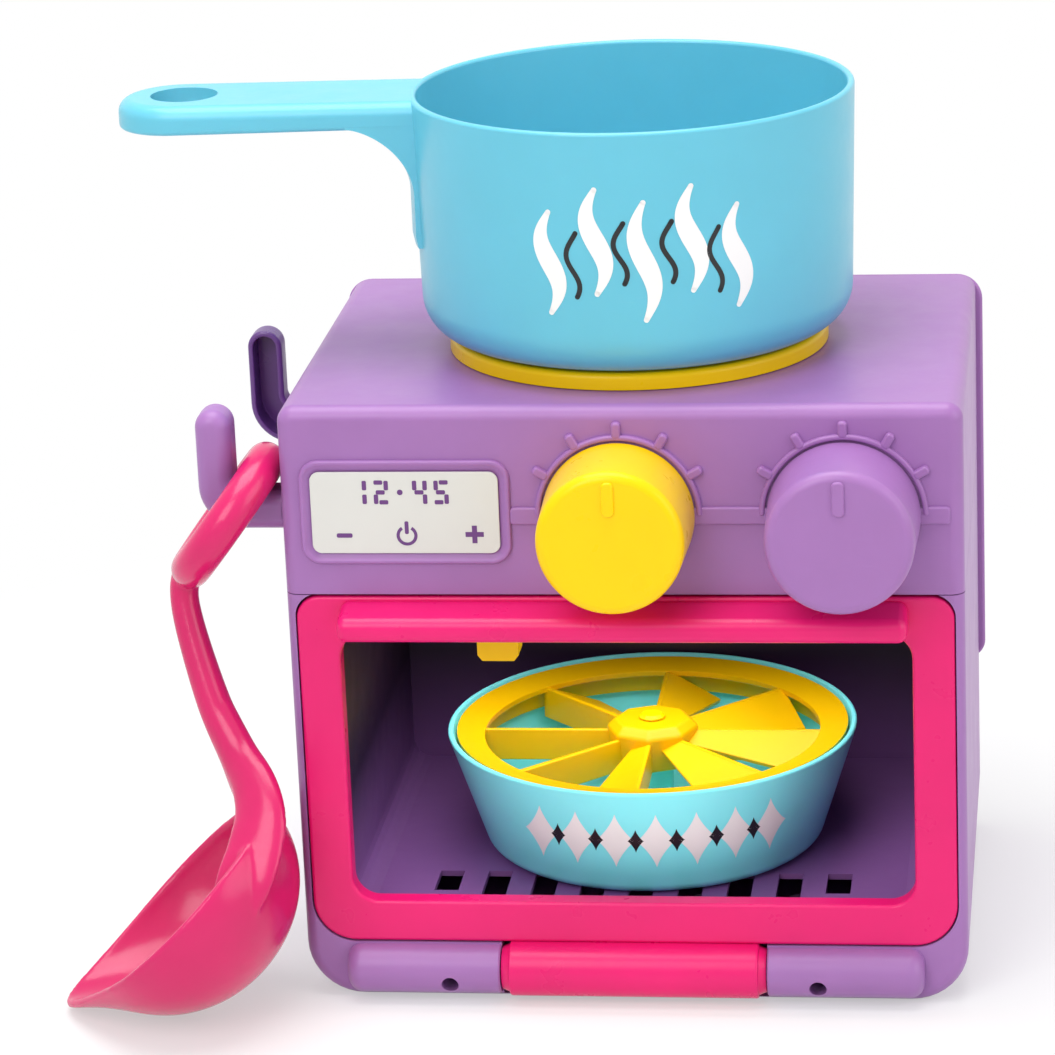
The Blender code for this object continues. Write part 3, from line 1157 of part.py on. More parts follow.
def make_mechanism_bracket():
    # A moulded tray on the oven's ceiling: rack channel, cylinder saddles and shaft bearings.
    foot = PLATE_TOP + FIT_GAP
    side = RACK_WIDTH / 2 + RUNNING_GAP
    left = CYLINDER_MOUTH_X + GUIDE_WALL
    right = click_end()
    reach = side + GUIDE_WALL
    tray = block("mechanism_bracket", (left, GEAR_MID - reach, foot), (right, GEAR_MID + reach, RACK_FOOT + GUIDE_SIDE_HEIGHT))
    cut(tray, block("rack_channel", (left - CUT_MARGIN, GEAR_MID - side, GUIDE_FOOT),
                    (right + CUT_MARGIN, GEAR_MID + side, TOP)))
    for x in (0, DIAL_SPACING):
        bearing = plate(
            "shaft_bearing",
            [(-BEARING_HALF_WIDTH, foot), (BEARING_HALF_WIDTH, foot)]
            + arc((0, DIAL_HEIGHT), BEARING_HALF_WIDTH, 0, 180, ARC_STEPS * 2),
            BEARING_WALL,
            placed(x, GEAR_MID + side + BEARING_WALL / 2, 0, FACING_FRONT))
        join(tray, bearing)
    for x in (CYLINDER_MOUTH_X - SADDLE_LENGTH, CYLINDER_END_X + CYLINDER_CAP_SKIRT + SADDLE_LENGTH * 2):
        join(tray, block("cylinder_saddle", (x - SADDLE_LENGTH / 2, GEAR_MID - SADDLE_HALF_WIDTH, foot),
                         (x + SADDLE_LENGTH / 2, GEAR_MID + SADDLE_HALF_WIDTH, ROD_HEIGHT)))
    join(tray, block("bracket_spine", (CYLINDER_END_X + CYLINDER_CAP_SKIRT + SADDLE_LENGTH, GEAR_MID - reach, foot),
                     (left + GUIDE_WALL, GEAR_MID + reach, foot + GUIDE_WALL)))
    join(tray, click_post())
    cut(tray,
        rod("cylinder_seat", CYLINDER_BORE_RADIUS + CYLINDER_WALL + FIT_GAP,
            (CYLINDER_END_X - CUT_MARGIN, GEAR_MID, ROD_HEIGHT),
            (CYLINDER_MOUTH_X + FIT_GAP, GEAR_MID, ROD_HEIGHT), SMALL_STEPS + ARC_STEPS * 2),
        block("spout_flange_clearance",
              (SPOUT_CENTRE_X - SPOUT_TOP_HALF_WIDTH - SPOUT_FLANGE - FIT_GAP,
               SPOUT_CENTRE_Y - SPOUT_DEPTH / 2 - SPOUT_FLANGE - FIT_GAP, foot - ROOT_DEPTH),
              (SPOUT_CENTRE_X + SPOUT_TOP_HALF_WIDTH + SPOUT_FLANGE + FIT_GAP,
               SPOUT_CENTRE_Y + SPOUT_DEPTH / 2 + SPOUT_FLANGE + FIT_GAP, foot + SPOUT_FLANGE + FIT_GAP)),
        click_notch())
    for x in (0, DIAL_SPACING):
        cut(tray, rod("bearing_hole", SHAFT_RADIUS + RUNNING_GAP, (x, GEAR_BACK - ROOT_DEPTH, DIAL_HEIGHT),
                      (x, GEAR_BACK + CUT_MARGIN, DIAL_HEIGHT)))
    return finish(tray, DARK_PURPLE)


def click_height():
    return DIAL_HEIGHT - RATCHET_RADIUS - FIT_GAP - CLICK_SPRING_THICKNESS / 2


def click_end():
    # The right end of the tray, past the ratchet wheel.
    return DIAL_SPACING + RATCHET_RADIUS + CLICK_POST_GAP + CLICK_POST_SIZE


def click_post():
    end = click_end()
    return block("click_post", (end - CLICK_POST_SIZE, GEAR_MID - RACK_WIDTH / 2 - GUIDE_WALL, PLATE_TOP + FIT_GAP),
                 (end, GEAR_MID + RACK_WIDTH / 2 + GUIDE_WALL, click_height() + CLICK_POST_SIZE / 2))


def click_notch():
    # The leaf spring slides into this notch from the left.
    end = click_end()
    half = CLICK_SPRING_THICKNESS / 2 + FIT_GAP
    return block("click_notch", (end - CLICK_POST_SIZE - ROOT_DEPTH, GEAR_MID - RACK_WIDTH, click_height() - half),
                 (end - GUIDE_WALL, GEAR_MID + RATCHET_THICKNESS / 2 + FIT_GAP, click_height() + half))


def make_click_spring():
    end = click_end() - GUIDE_WALL - FIT_GAP
    half = CLICK_SPRING_THICKNESS / 2
    spring = block("click_spring",
                   (end - CLICK_SPRING_LENGTH, GEAR_MID - RATCHET_THICKNESS / 2, click_height() - half),
                   (end, GEAR_MID + RATCHET_THICKNESS / 2, click_height() + half))
    return finish(spring, STEEL)


def make_click_ratchet():
    points = []
    for i in range(RATCHET_TEETH * ARC_STEPS):
        angle = 2 * math.pi * i / (RATCHET_TEETH * ARC_STEPS)
        wave = (1 - math.cos(RATCHET_TEETH * angle)) / 2
        radius = RATCHET_RADIUS - RATCHET_TOOTH_DEPTH * wave
        points.append((radius * math.cos(angle), radius * math.sin(angle)))
    bore = arc((0, 0), SHAFT_RADIUS + FIT_GAP, 0, 360 - 360 / SMALL_STEPS, SMALL_STEPS - 1)
    wheel = plate("click_ratchet", points, RATCHET_THICKNESS,
                  placed(DIAL_SPACING, GEAR_MID, DIAL_HEIGHT, FACING_FRONT), holes=[bore])
    return finish(wheel, WHITE)


def make_hob_ring():
    outer = HOB_RING_RADIUS
    inner = outer - HOB_RING_WIDTH
    skirt = HOB_HOLE_RADIUS - FIT_GAP
    foot = TOP + FIT_GAP
    edge = HOB_EDGE_RADIUS
    ledge = HOB_TOP - HOB_PLATE_THICKNESS * 2
    profile = (
        [(inner, HOB_TOP)]
        + arc((outer - edge, HOB_TOP - edge), edge, 90, 0, CORNER_STEPS)
        + [(outer, foot), (skirt, foot), (skirt, foot - HOB_SKIRT_DEPTH),
           (skirt - HOB_SKIRT_WALL, foot - HOB_SKIRT_DEPTH), (skirt - HOB_SKIRT_WALL, ledge - HOB_PLATE_THICKNESS),
           (inner - HOB_LEDGE_WIDTH, ledge - HOB_PLATE_THICKNESS), (inner - HOB_LEDGE_WIDTH, ledge), (inner, ledge)]
    )
    return finish(turned("hob_ring", profile, closed=True), YELLOW)


def make_hob_plate():
    # A perforated disc that drops onto the ring's ledge.
    foot = HOB_TOP - HOB_PLATE_THICKNESS * 2 + FIT_GAP
    radius = HOB_RING_RADIUS - HOB_RING_WIDTH - FIT_GAP
    disc = rod("hob_plate", radius, (0, 0, foot), (0, 0, foot + HOB_PLATE_THICKNESS), ROUND_STEPS)
    for share, count in HOB_HOLE_RING_SHARES:
        for i in range(count):
            angle = 2 * math.pi * (i + 0.5) / count
            x = share * radius * math.cos(angle)
            y = share * radius * math.sin(angle)
            cut(disc, rod("hob_perforation", HOB_HOLE_SIZE, (x, y, foot - ROOT_DEPTH),
                          (x, y, foot + HOB_PLATE_THICKNESS + ROOT_DEPTH), HOLE_STEPS))
    cut(disc, rod("hob_middle_hole", HOB_MIDDLE_HOLE_RADIUS, (0, 0, foot - ROOT_DEPTH),
                  (0, 0, foot + HOB_PLATE_THICKNESS + ROOT_DEPTH), SMALL_STEPS))
    return finish(disc, YELLOW)


def make_sump_tray():
    # A shallow dish under the hob with a drain pipe down to the shower plate.
    rim = HOB_HOLE_RADIUS + SUMP_FLANGE
    inner = HOB_HOLE_RADIUS - FIT_GAP + SUMP_WALL / 2
    wall = SUMP_WALL
    floor = SUMP_TOP - SUMP_DEPTH
    pipe_end = PLATE_TOP + SHOWER_RIM_HEIGHT
    corner = SUMP_CORNER_RADIUS
    profile = (
        [(SUMP_DRAIN_RADIUS, floor + wall)]
        + arc((inner - corner, floor + wall + corner), corner, -90, 0, CORNER_STEPS)
        + [(inner, SUMP_TOP), (rim, SUMP_TOP), (rim, SUMP_TOP - wall), (inner + wall, SUMP_TOP - wall)]
        + arc((inner - corner, floor + wall + corner), corner + wall, 0, -90, CORNER_STEPS)
        + [(SUMP_DRAIN_RADIUS + wall, floor), (SUMP_DRAIN_RADIUS + wall, pipe_end), (SUMP_DRAIN_RADIUS, pipe_end)]
    )
    tray = turned("sump_tray", profile, closed=True, steps=SMALL_STEPS * 2)
    cut(tray, rod("nozzle_hole", NOZZLE_RADIUS + FIT_GAP, nozzle_point(inner - corner),
                  nozzle_point(inner + 2 * CUT_MARGIN), 12))
    return finish(tray, WHITE)


def nozzle_point(radius):
    # A point on the line along which the air comes into the sump.
    z = SUMP_TOP - SUMP_WALL - NOZZLE_RADIUS - 2 * FIT_GAP
    return radius * math.cos(NOZZLE_ANGLE), radius * math.sin(NOZZLE_ANGLE), z - FIT_GAP


def make_air_nozzle():
    inner = HOB_HOLE_RADIUS - SUMP_WALL
    start = nozzle_point(inner)
    end = nozzle_point(inner + 2 * SUMP_WALL + NOZZLE_LENGTH)
    nozzle = rod("air_nozzle", NOZZLE_RADIUS, start, end, 12)
    cut(nozzle, rod("nozzle_bore", NOZZLE_RADIUS / 2, nozzle_point(inner - ROOT_DEPTH),
                    nozzle_point(inner + 2 * SUMP_WALL + NOZZLE_LENGTH + ROOT_DEPTH), 8))
    return finish(nozzle, YELLOW)


def make_air_hose():
    # From the cylinder's nipple up and back to the nozzle in the sump's wall.
    x, y, z = nipple_place()
    start = Vector((x, y, z + FIT_GAP))
    end = Vector(nozzle_point(HOB_HOLE_RADIUS + SUMP_WALL + NOZZLE_LENGTH + FIT_GAP))
    out = Vector((math.cos(NOZZLE_ANGLE), math.sin(NOZZLE_ANGLE), 0))
    up = Vector((0, 0, 1))
    bend_start = start + up * HOSE_RADIUS
    bend_end = end + out * HOSE_RADIUS
    control_a = bend_start + up * HOSE_BEND_CONTROL
    control_b = bend_end + out * HOSE_BEND_CONTROL
    route = [start]
    for i in range(SWEEP_STEPS + 1):
        t = i / SWEEP_STEPS
        s = 1 - t
        route.append(
            bend_start * s ** 3 + control_a * (3 * s * s * t) + control_b * (3 * s * t * t) + bend_end * t ** 3)
    route.append(end)
    return finish(tube("air_hose", route, HOSE_RADIUS), RUBBER)


def make_rear_cover():
    gap = FIT_GAP
    outline = rounded_outline(
        CABINET_WIDTH - 2 * SHELL_WALL - 2 * gap, TOP - 2 * SHELL_WALL - 2 * gap,
        FOOT_CORNER_RADIUS - SHELL_WALL - gap, TOP_CORNER_RADIUS - SHELL_WALL - gap)
    cover = plate("rear_cover", outline, REAR_THICKNESS + gap + ROOT_DEPTH,
                  placed(0, (COVER_FACE + REAR + gap + ROOT_DEPTH) / 2, TOP / 2, FACING_FRONT))
    flange_height = TOP - REAR_FLANGE_FOOT
    flange = plate(
        "rear_flange", rounded_outline(2 * REAR_FLANGE_HALF_WIDTH, flange_height, TOP_CORNER_RADIUS),
        REAR_FLANGE_THICKNESS,
        placed(0, REAR + gap + REAR_FLANGE_THICKNESS / 2, REAR_FLANGE_FOOT + flange_height / 2, FACING_FRONT))
    bevel(flange, REAR_FLANGE_THICKNESS / 4)
    join(cover, flange)
    foot = REAR + gap
    for i in range(REAR_RIB_COUNT):
        z = REAR_FLANGE_FOOT + (i + REAR_RIB_START_SHARE) * REAR_RIB_PITCH
        half = CUP_SPACING_X / 2 - CUP_RADIUS - REAR_RIB_CUP_GAP
        join(cover, block("rear_rib", (-half, foot + REAR_FLANGE_THICKNESS / 2, z - REAR_RIB_WIDTH / 2),
                          (half, foot + REAR_FLANGE_THICKNESS + REAR_RIB_HEIGHT, z + REAR_RIB_WIDTH / 2)))
    for x, z in cup_places():
        cut(cover, rod("cup_hole", CUP_NECK_RADIUS + gap, (x, COVER_FACE - ROOT_DEPTH, z),
                       (x, REAR + CUT_MARGIN, z)))
    for side in (-1, 1):
        x = post_x(side)
        for z in (REAR_POST_LOW, REAR_POST_HIGH):
            cut(cover, rod("cover_screw_way", PILOT_RADIUS, (x, COVER_FACE - ROOT_DEPTH, z),
                           (x, REAR + CUT_MARGIN, z), HOLE_STEPS))
            cut(cover, rod("cover_screw_seat", SCREW_HEAD_RADIUS + gap, (x, screw_seat(), z),
                           (x, REAR + CUT_MARGIN, z)))
    return finish(cover, PURPLE)


def screw_seat():
    return REAR + FIT_GAP - SCREW_HEAD_HEIGHT / 2


def cup_places():
    return [(side * CUP_SPACING_X / 2, z) for z in (CUP_LOW_HEIGHT, CUP_HIGH_HEIGHT) for side in (-1, 1)]


def make_suction_cup(index, x, z):
    # A soft cup whose button is pushed through the rear cover from behind.
    face = REAR + FIT_GAP + REAR_FLANGE_THICKNESS
    button = COVER_FACE - FIT_GAP - face
    neck = CUP_NECK_LENGTH
    profile = [
        (0, button - CUP_BUTTON_HEIGHT),
        (CUP_BUTTON_RADIUS - CUP_BUTTON_HEIGHT / 2, button - CUP_BUTTON_HEIGHT),
        (CUP_BUTTON_RADIUS, button),
        (CUP_NECK_RADIUS, button),
        (CUP_NECK_RADIUS, FIT_GAP),
        (CUP_NECK_RADIUS + CUP_WALL, FIT_GAP),
        (CUP_NECK_RADIUS + CUP_WALL, neck),
        *[(CUP_RADIUS * across, neck + CUP_DEPTH * along) for across, along in CUP_OUTER_SHARES],
        (CUP_RADIUS, neck + CUP_DEPTH),
        (CUP_RADIUS - CUP_WALL / 2, neck + CUP_DEPTH),
        (CUP_RADIUS * CUP_INNER_SHARE[0], neck + CUP_DEPTH * CUP_INNER_SHARE[1] + CUP_WALL),
        (0, neck + CUP_WALL),
    ]
    profile.reverse()
    cup = turned("suction_cup_%d" % index, profile, placed(x, face, z, AXIS_Y), steps=SMALL_STEPS)
    return finish(cup, RUBBER)


def make_screw(name, x, seat, z, facing, length):
    # A pan head screw: facing is -1 for a head towards the front and 1 towards the rear.
    turn = AXIS_Y if facing > 0 else FACING_FRONT
    screw = turned(name, [
        (0, SCREW_HEAD_HEIGHT + FIT_GAP),
        (SCREW_HEAD_RADIUS * SCREW_CROWN_SHARE, SCREW_HEAD_HEIGHT + FIT_GAP),
        (SCREW_HEAD_RADIUS, SCREW_HEAD_HEIGHT / 2 + FIT_GAP),
        (SCREW_HEAD_RADIUS, FIT_GAP),
        (SCREW_SHANK_RADIUS, FIT_GAP),
        (SCREW_SHANK_RADIUS, SCREW_SHANK_RADIUS - length),
        (0, -length),
    ], placed(x, seat, z, turn), steps=8)
    return finish(screw, STEEL)


def make_hook(name, y, facing):
    # A J hook with a hollow side; facing is 1 when the hollow looks to the rear.
    wall_x = -HALF_WIDTH
    outer = wall_x - HOOK_REACH
    peg = outer + HOOK_PEG_WIDTH
    peg_radius = HOOK_PEG_WIDTH / 2
    arm_end = wall_x - FIT_GAP
    slot = HOOK_SLOT_RADIUS
    elbow = HOOK_ELBOW_RADIUS
    outline = (
        [(arm_end, HOOK_ARM_FOOT)]
        + [(arm_end, HOOK_ARM_TOP)]
        + arc((peg + slot, HOOK_ARM_TOP + slot), slot, 270, 180)
        + arc((outer + peg_radius, HOOK_TOP_HEIGHT - peg_radius), peg_radius, 0, 180, ARC_STEPS * 2)
        + arc((outer + elbow, HOOK_ARM_FOOT + elbow), elbow, 180, 270)
    )
    hook = plate(name, outline, HOOK_DEPTH, placed(0, y, 0, FACING_FRONT))
    bevel(hook, HOOK_EDGE_RADIUS, 2, 50)
    tongue = block(
        name + "_tongue",
        (arm_end - ROOT_DEPTH, y - HOOK_DEPTH / 2, HOOK_ARM_FOOT + HOOK_TONGUE_INSET),
        (wall_x + HOOK_TONGUE, y + HOOK_DEPTH / 2, HOOK_ARM_TOP - HOOK_TONGUE_INSET))
    join(hook, tongue)
    wall = HOOK_WALL
    inset = (
        [(arm_end - wall, HOOK_ARM_FOOT + wall)]
        + [(arm_end - wall, HOOK_ARM_TOP - wall)]
        + arc((peg + slot, HOOK_ARM_TOP + slot), slot + wall, 270, 180)
        + arc((outer + peg_radius, HOOK_TOP_HEIGHT - peg_radius), peg_radius - wall, 0, 180, ARC_STEPS * 2)
        + arc((outer + elbow, HOOK_ARM_FOOT + elbow), elbow - wall, 180, 270)
    )
    depth = HOOK_DEPTH / 2 + CUT_MARGIN
    pocket = plate(name + "_pocket", inset, depth,
                   placed(0, y + facing * (depth / 2 - HOOK_DEPTH / 2 + 2 * wall), 0, FACING_FRONT))
    cut(hook, pocket)
    return finish(hook, PURPLE)


def make_saucepan():
    wall = PAN_WALL
    corner = PAN_CORNER_RADIUS
    base = PAN_BASE_RADIUS
    inner_corner = corner - wall
    lip = wall / 2
    profile = (
        [(0, wall)]
        + arc((base - corner, corner), inner_corner, -90, 0, CORNER_STEPS)
        + arc((PAN_RIM_RADIUS - lip, PAN_HEIGHT - lip), lip, 180, 0, CORNER_STEPS)
        + arc((base - corner, corner), corner, 0, -90)
        + [(0, 0)]
    )
    pan = turned("saucepan", profile, placed(0, 0, PAN_FOOT), steps=ROUND_STEPS)
    join(pan, pan_handle(), pan_gusset())
    return finish(pan, BLUE)


def pan_handle():
    hole = -PAN_HANDLE_HOLE_X
    start = PAN_BASE_RADIUS - PAN_WALL / 2
    half = PAN_HANDLE_WIDTH / 2

    def outline(inset, start_x):
        radius = PAN_HANDLE_END_RADIUS - inset
        edge = half - inset
        lean = math.degrees(math.asin(min(1, edge / radius)))
        end = arc((hole, 0), radius, lean, -lean, ARC_STEPS * 2)
        return [(start_x, edge)] + end + [(start_x, -edge)]

    turn = Matrix.Rotation(math.pi + PAN_HANDLE_TILT, 4, "Z")
    head = PAN_FOOT + PAN_HEIGHT - PAN_HANDLE_DROP
    thickness = PAN_HANDLE_THICKNESS
    handle = plate("pan_handle", outline(0, start), thickness, placed(0, 0, head - thickness / 2) @ turn)
    bevel(handle, PAN_HANDLE_WALL / 2)
    hollow_depth = thickness - PAN_HANDLE_WALL + CUT_MARGIN
    hollow = plate("handle_hollow", outline(PAN_HANDLE_WALL, PAN_RIM_RADIUS + PAN_HANDLE_WALL), hollow_depth,
                   placed(0, 0, head - PAN_HANDLE_WALL - hollow_depth / 2) @ turn)
    centre = turn @ Vector((hole, 0, 0))
    eye = rod("handle_eye", PAN_HANDLE_HOLE_RADIUS + PAN_HANDLE_WALL,
              (centre.x, centre.y, head - thickness + FIT_GAP), (centre.x, centre.y, head - PAN_HANDLE_WALL / 2),
              SMALL_STEPS + ARC_STEPS)
    hole_cut = rod("handle_hole", PAN_HANDLE_HOLE_RADIUS, (centre.x, centre.y, head - thickness - CUT_MARGIN),
                   (centre.x, centre.y, head + CUT_MARGIN), SMALL_STEPS + ARC_STEPS)
    return baked(cut(join(cut(handle, hollow), eye), hole_cut))


def pan_gusset():
    # The curved web that runs from under the handle down the pan's wall.
    start = PAN_BASE_RADIUS - PAN_WALL / 2
    head = PAN_HEIGHT - PAN_HANDLE_DROP - PAN_HANDLE_WALL
    reach = PAN_RIM_RADIUS + PAN_GUSSET_REACH
    foot = PAN_HEIGHT - PAN_HANDLE_THICKNESS - PAN_GUSSET_DEPTH
    tail = PAN_RIM_RADIUS + PAN_GUSSET_TAIL_WALL
    bend = [(start, foot - PAN_GUSSET_TAIL), (PAN_RIM_RADIUS, foot - PAN_GUSSET_TAIL)]
    for i in range(ARC_STEPS * 2 + 1):
        angle = math.radians(90 * i / (ARC_STEPS * 2))
        bend.append((reach - (reach - tail) * math.cos(angle), foot + PAN_GUSSET_DEPTH * math.sin(angle)))
    outline = bend + [(reach, head), (start, head)]
    turn = Matrix.Rotation(math.pi + PAN_HANDLE_TILT, 4, "Z")
    gusset = plate("pan_gusset", outline, PAN_GUSSET_WIDTH, placed(0, 0, PAN_FOOT) @ turn @ FACING_FRONT)
    return gusset


def make_cake_tin():
    wall = TIN_WALL
    corner = TIN_FOOT_CORNER
    foot = TIN_FOOT_RADIUS
    inner_foot = corner - wall
    profile = (
        [(0, wall)]
        + arc((foot - corner, corner), inner_foot, -90, 0, 3)
        + [(TIN_RIM_RADIUS - wall, TIN_HEIGHT), (TIN_RIM_RADIUS, TIN_HEIGHT)]
        + arc((foot - corner, corner), corner, 0, -90, 3)
        + [(0, 0)]
    )
    tin = turned("cake_tin", profile, placed(0, 0, TIN_FOOT), steps=ROUND_STEPS)
    boss_top = SPINNER_TOP - SPINNER_HUB_HEIGHT - RUNNING_GAP
    join(tin, rod("axle_boss", AXLE_BOSS_RADIUS, (0, 0, TIN_FOOT + wall / 2), (0, 0, boss_top)))
    cut(tin, rod("axle_seat", AXLE_RADIUS + FIT_GAP, (0, 0, TIN_FOOT + wall + ROOT_DEPTH),
                 (0, 0, boss_top + CUT_MARGIN)))
    return finish(tin, BLUE)


def make_spinner_axle():
    foot = TIN_FOOT + TIN_WALL + ROOT_DEPTH + FIT_GAP
    top = SPINNER_TOP + SPINNER_HUB_DOME
    return finish(rod("spinner_axle", AXLE_RADIUS, (0, 0, foot), (0, 0, top)), STEEL)


def tin_bore(height):
    # The tin's inner radius at a height above its foot.
    share = (height - TIN_FOOT_CORNER) / (TIN_HEIGHT - TIN_FOOT_CORNER)
    return TIN_FOOT_RADIUS + (TIN_RIM_RADIUS - TIN_FOOT_RADIUS) * share - TIN_WALL


def make_spinner():
    # A water wheel: a sloped rim, a faceted hub, upright ribs and a pitched vane beside each rib.
    top = SPINNER_TOP
    outer = tin_bore(TIN_HEIGHT - SPINNER_DROP) - SPINNER_CLEARANCE
    low = top - SPINNER_SKIRT
    outer_low = tin_bore(TIN_HEIGHT - SPINNER_DROP - SPINNER_SKIRT) - SPINNER_CLEARANCE
    inner = outer - SPINNER_RIM_WIDTH
    rim = turned("spinner", [
        (inner, top - SPINNER_RIM_SLOPE), (outer, top), (outer_low, low),
        (outer_low - SPINNER_RIM_WALL, low), (outer_low - SPINNER_RIM_WALL, top - SPINNER_RIM_SLOPE - SPINNER_RIM_WALL),
        (inner, top - SPINNER_RIM_SLOPE - SPINNER_RIM_WALL),
    ], steps=ROUND_STEPS, closed=True)
    hub = rod("spinner_hub", SPINNER_HUB_RADIUS * SPINNER_HUB_FOOT_SHARE, (0, 0, top - SPINNER_HUB_HEIGHT),
              (0, 0, top - SPINNER_RIM_SLOPE / 2), SPINNER_VANES, SPINNER_HUB_RADIUS)
    dome = rod("hub_dome", SPINNER_HUB_RADIUS, (0, 0, top - SPINNER_RIM_SLOPE / 2 - ROOT_DEPTH / 4),
               (0, 0, top + SPINNER_HUB_DOME), SPINNER_VANES, SPINNER_HUB_RADIUS * SPINNER_DOME_SHARE)
    join(rim, hub, dome)
    rib_end = inner + SPINNER_RIM_WALL
    head = top - SPINNER_RIM_SLOPE - FIT_GAP
    span = 2 * math.pi / SPINNER_VANES
    for i in range(SPINNER_VANES):
        turn = Matrix.Rotation(span * i, 4, "Z")
        rib = block("spinner_rib", (SPINNER_HUB_RADIUS / 2, -VANE_WALL / 2, top - VANE_HEIGHT - SPINNER_RIM_SLOPE),
                    (rib_end, VANE_WALL / 2, head))
        rib.matrix_world = turn
        join(rim, rib)
    for i in range(SPINNER_VANES):
        join(rim, spinner_vane(span * i, rib_end, head))
    cut(rim, rod("spinner_bore", AXLE_RADIUS + RUNNING_GAP, (0, 0, low - CUT_MARGIN), (0, 0, top + CUT_MARGIN)))
    return finish(rim, YELLOW)


def spinner_vane(angle, rib_end, head):
    # A flat blade that falls away clockwise from a rib's top edge, wider towards the rim.
    span = 2 * math.pi / SPINNER_VANES
    share = (1 - VANE_GAP_SHARE) / math.cos(VANE_ANGLE)
    start = SPINNER_HUB_RADIUS * VANE_ROOT_SHARE
    end = rib_end
    end_turn = span * VANE_END_TURN_SHARE
    outline = [
        (start, 0), (end, 0),
        (end * math.cos(end_turn), -end * math.sin(end_turn) * share),
        (start, -start * math.sin(span) * share),
    ]
    vane = plate("spinner_vane", outline[::-1], VANE_WALL)
    vane.matrix_world = (
        Matrix.Rotation(angle, 4, "Z") @ Matrix.Translation((0, 0, head - VANE_WALL / 2))
        @ Matrix.Rotation(VANE_ANGLE, 4, "X"))
    return vane


def make_spinner_cap():
    # A press-on cap that keeps the spinner on its axle.
    foot = SPINNER_TOP + SPINNER_HUB_DOME + FIT_GAP
    cap = turned("spinner_cap", [
        (0, SPINNER_CAP_HEIGHT), (SPINNER_CAP_RADIUS * SPINNER_CAP_CROWN_SHARE, SPINNER_CAP_HEIGHT),
        (SPINNER_CAP_RADIUS, SPINNER_CAP_HEIGHT / 3), (SPINNER_CAP_RADIUS, 0), (0, 0),
    ], placed(0, 0, foot), steps=SMALL_STEPS)
    return finish(cap, YELLOW)


def make_ladle():
    # One moulding: a slanted ring on the front hook, a curved handle and a deep bowl with a lip.
    slant = Vector((-math.cos(LADLE_RING_SLANT), 0, -math.sin(LADLE_RING_SLANT)))
    bpy.ops.mesh.primitive_torus_add(
        major_radius=LADLE_RING_RADIUS, minor_radius=LADLE_TUBE_RADIUS,
        major_segments=LADLE_STEPS, minor_segments=SWEEP_STEPS)
    ladle = bpy.context.active_object
    for collection in list(ladle.users_collection):
        collection.objects.unlink(ladle)
    PARTS.objects.link(ladle)
    ladle.name = "ladle"
    tilt = Matrix.Rotation(-LADLE_RING_SLANT, 4, "Y")
    ladle.matrix_world = Matrix.Translation(LADLE_ORIGIN + slant * LADLE_RING_RADIUS) @ tilt
    join(ladle, ladle_handle(slant), ladle_bowl())
    set_origin(baked(ladle), *LADLE_ORIGIN)
    return finish(ladle, PINK)


def ladle_handle(slant):
    # A round shank, thin at the ring, that grows towards the bowl and ends on the bowl's outer side.
    ring_foot = slant * (2 * LADLE_RING_RADIUS)
    points = [ring_foot, LADLE_NECK, LADLE_UPPER_BEND, LADLE_WAIST, LADLE_LOWER_BEND, LADLE_HEEL, LADLE_TAIL]
    route = [LADLE_ORIGIN + point for point in smooth_route(points, ARC_STEPS)]
    stock = [LADLE_NECK_RADIUS, LADLE_NECK_RADIUS, LADLE_UPPER_RADIUS, LADLE_SHANK_RADIUS,
             LADLE_LOWER_RADIUS, LADLE_HEEL_RADIUS, LADLE_TAIL_RADIUS]
    growth = smooth_route([(radius, 0, 0) for radius in stock], ARC_STEPS)
    return tube("ladle_handle", route, 1, 2, [place[0] for place in growth])


def ladle_bowl():
    bm = bmesh.new()
    bmesh.ops.create_uvsphere(bm, u_segments=LADLE_STEPS, v_segments=SMALL_STEPS, radius=1)
    upper = [vert for vert in bm.verts if vert.co.z > WELD_DISTANCE]
    bmesh.ops.delete(bm, geom=upper, context="VERTS")
    for vert in bm.verts:
        near_lip = max(0, vert.co.x) ** LADLE_SPOUT_POWER * (1 - abs(vert.co.z)) ** LADLE_SPOUT_FADE_POWER
        vert.co.x = vert.co.x * LADLE_BOWL_LENGTH + near_lip * LADLE_SPOUT
        vert.co.y = vert.co.y * LADLE_BOWL_WIDTH
        vert.co.z = vert.co.z * LADLE_BOWL_DEPTH
    bowl = mesh_object("ladle_bowl", bm)
    shell = bowl.modifiers.new("wall", "SOLIDIFY")
    shell.thickness = LADLE_BOWL_WALL
    shell.offset = -1
    baked(bowl)
    # The bowl's own +X points to its lip and +Z out of its mouth.
    pitch = Matrix.Rotation(math.pi, 4, "Z") @ Matrix.Rotation(LADLE_BOWL_PITCH, 4, "Y")
    lean = Matrix.Rotation(LADLE_BOWL_TURN, 4, "Z") @ Matrix.Rotation(LADLE_BOWL_LEAN, 4, "X")
    centre = LADLE_ORIGIN + Vector(LADLE_BOWL_CENTRE)
    bowl.matrix_world = Matrix.Translation(centre) @ lean @ pitch
    return bowl


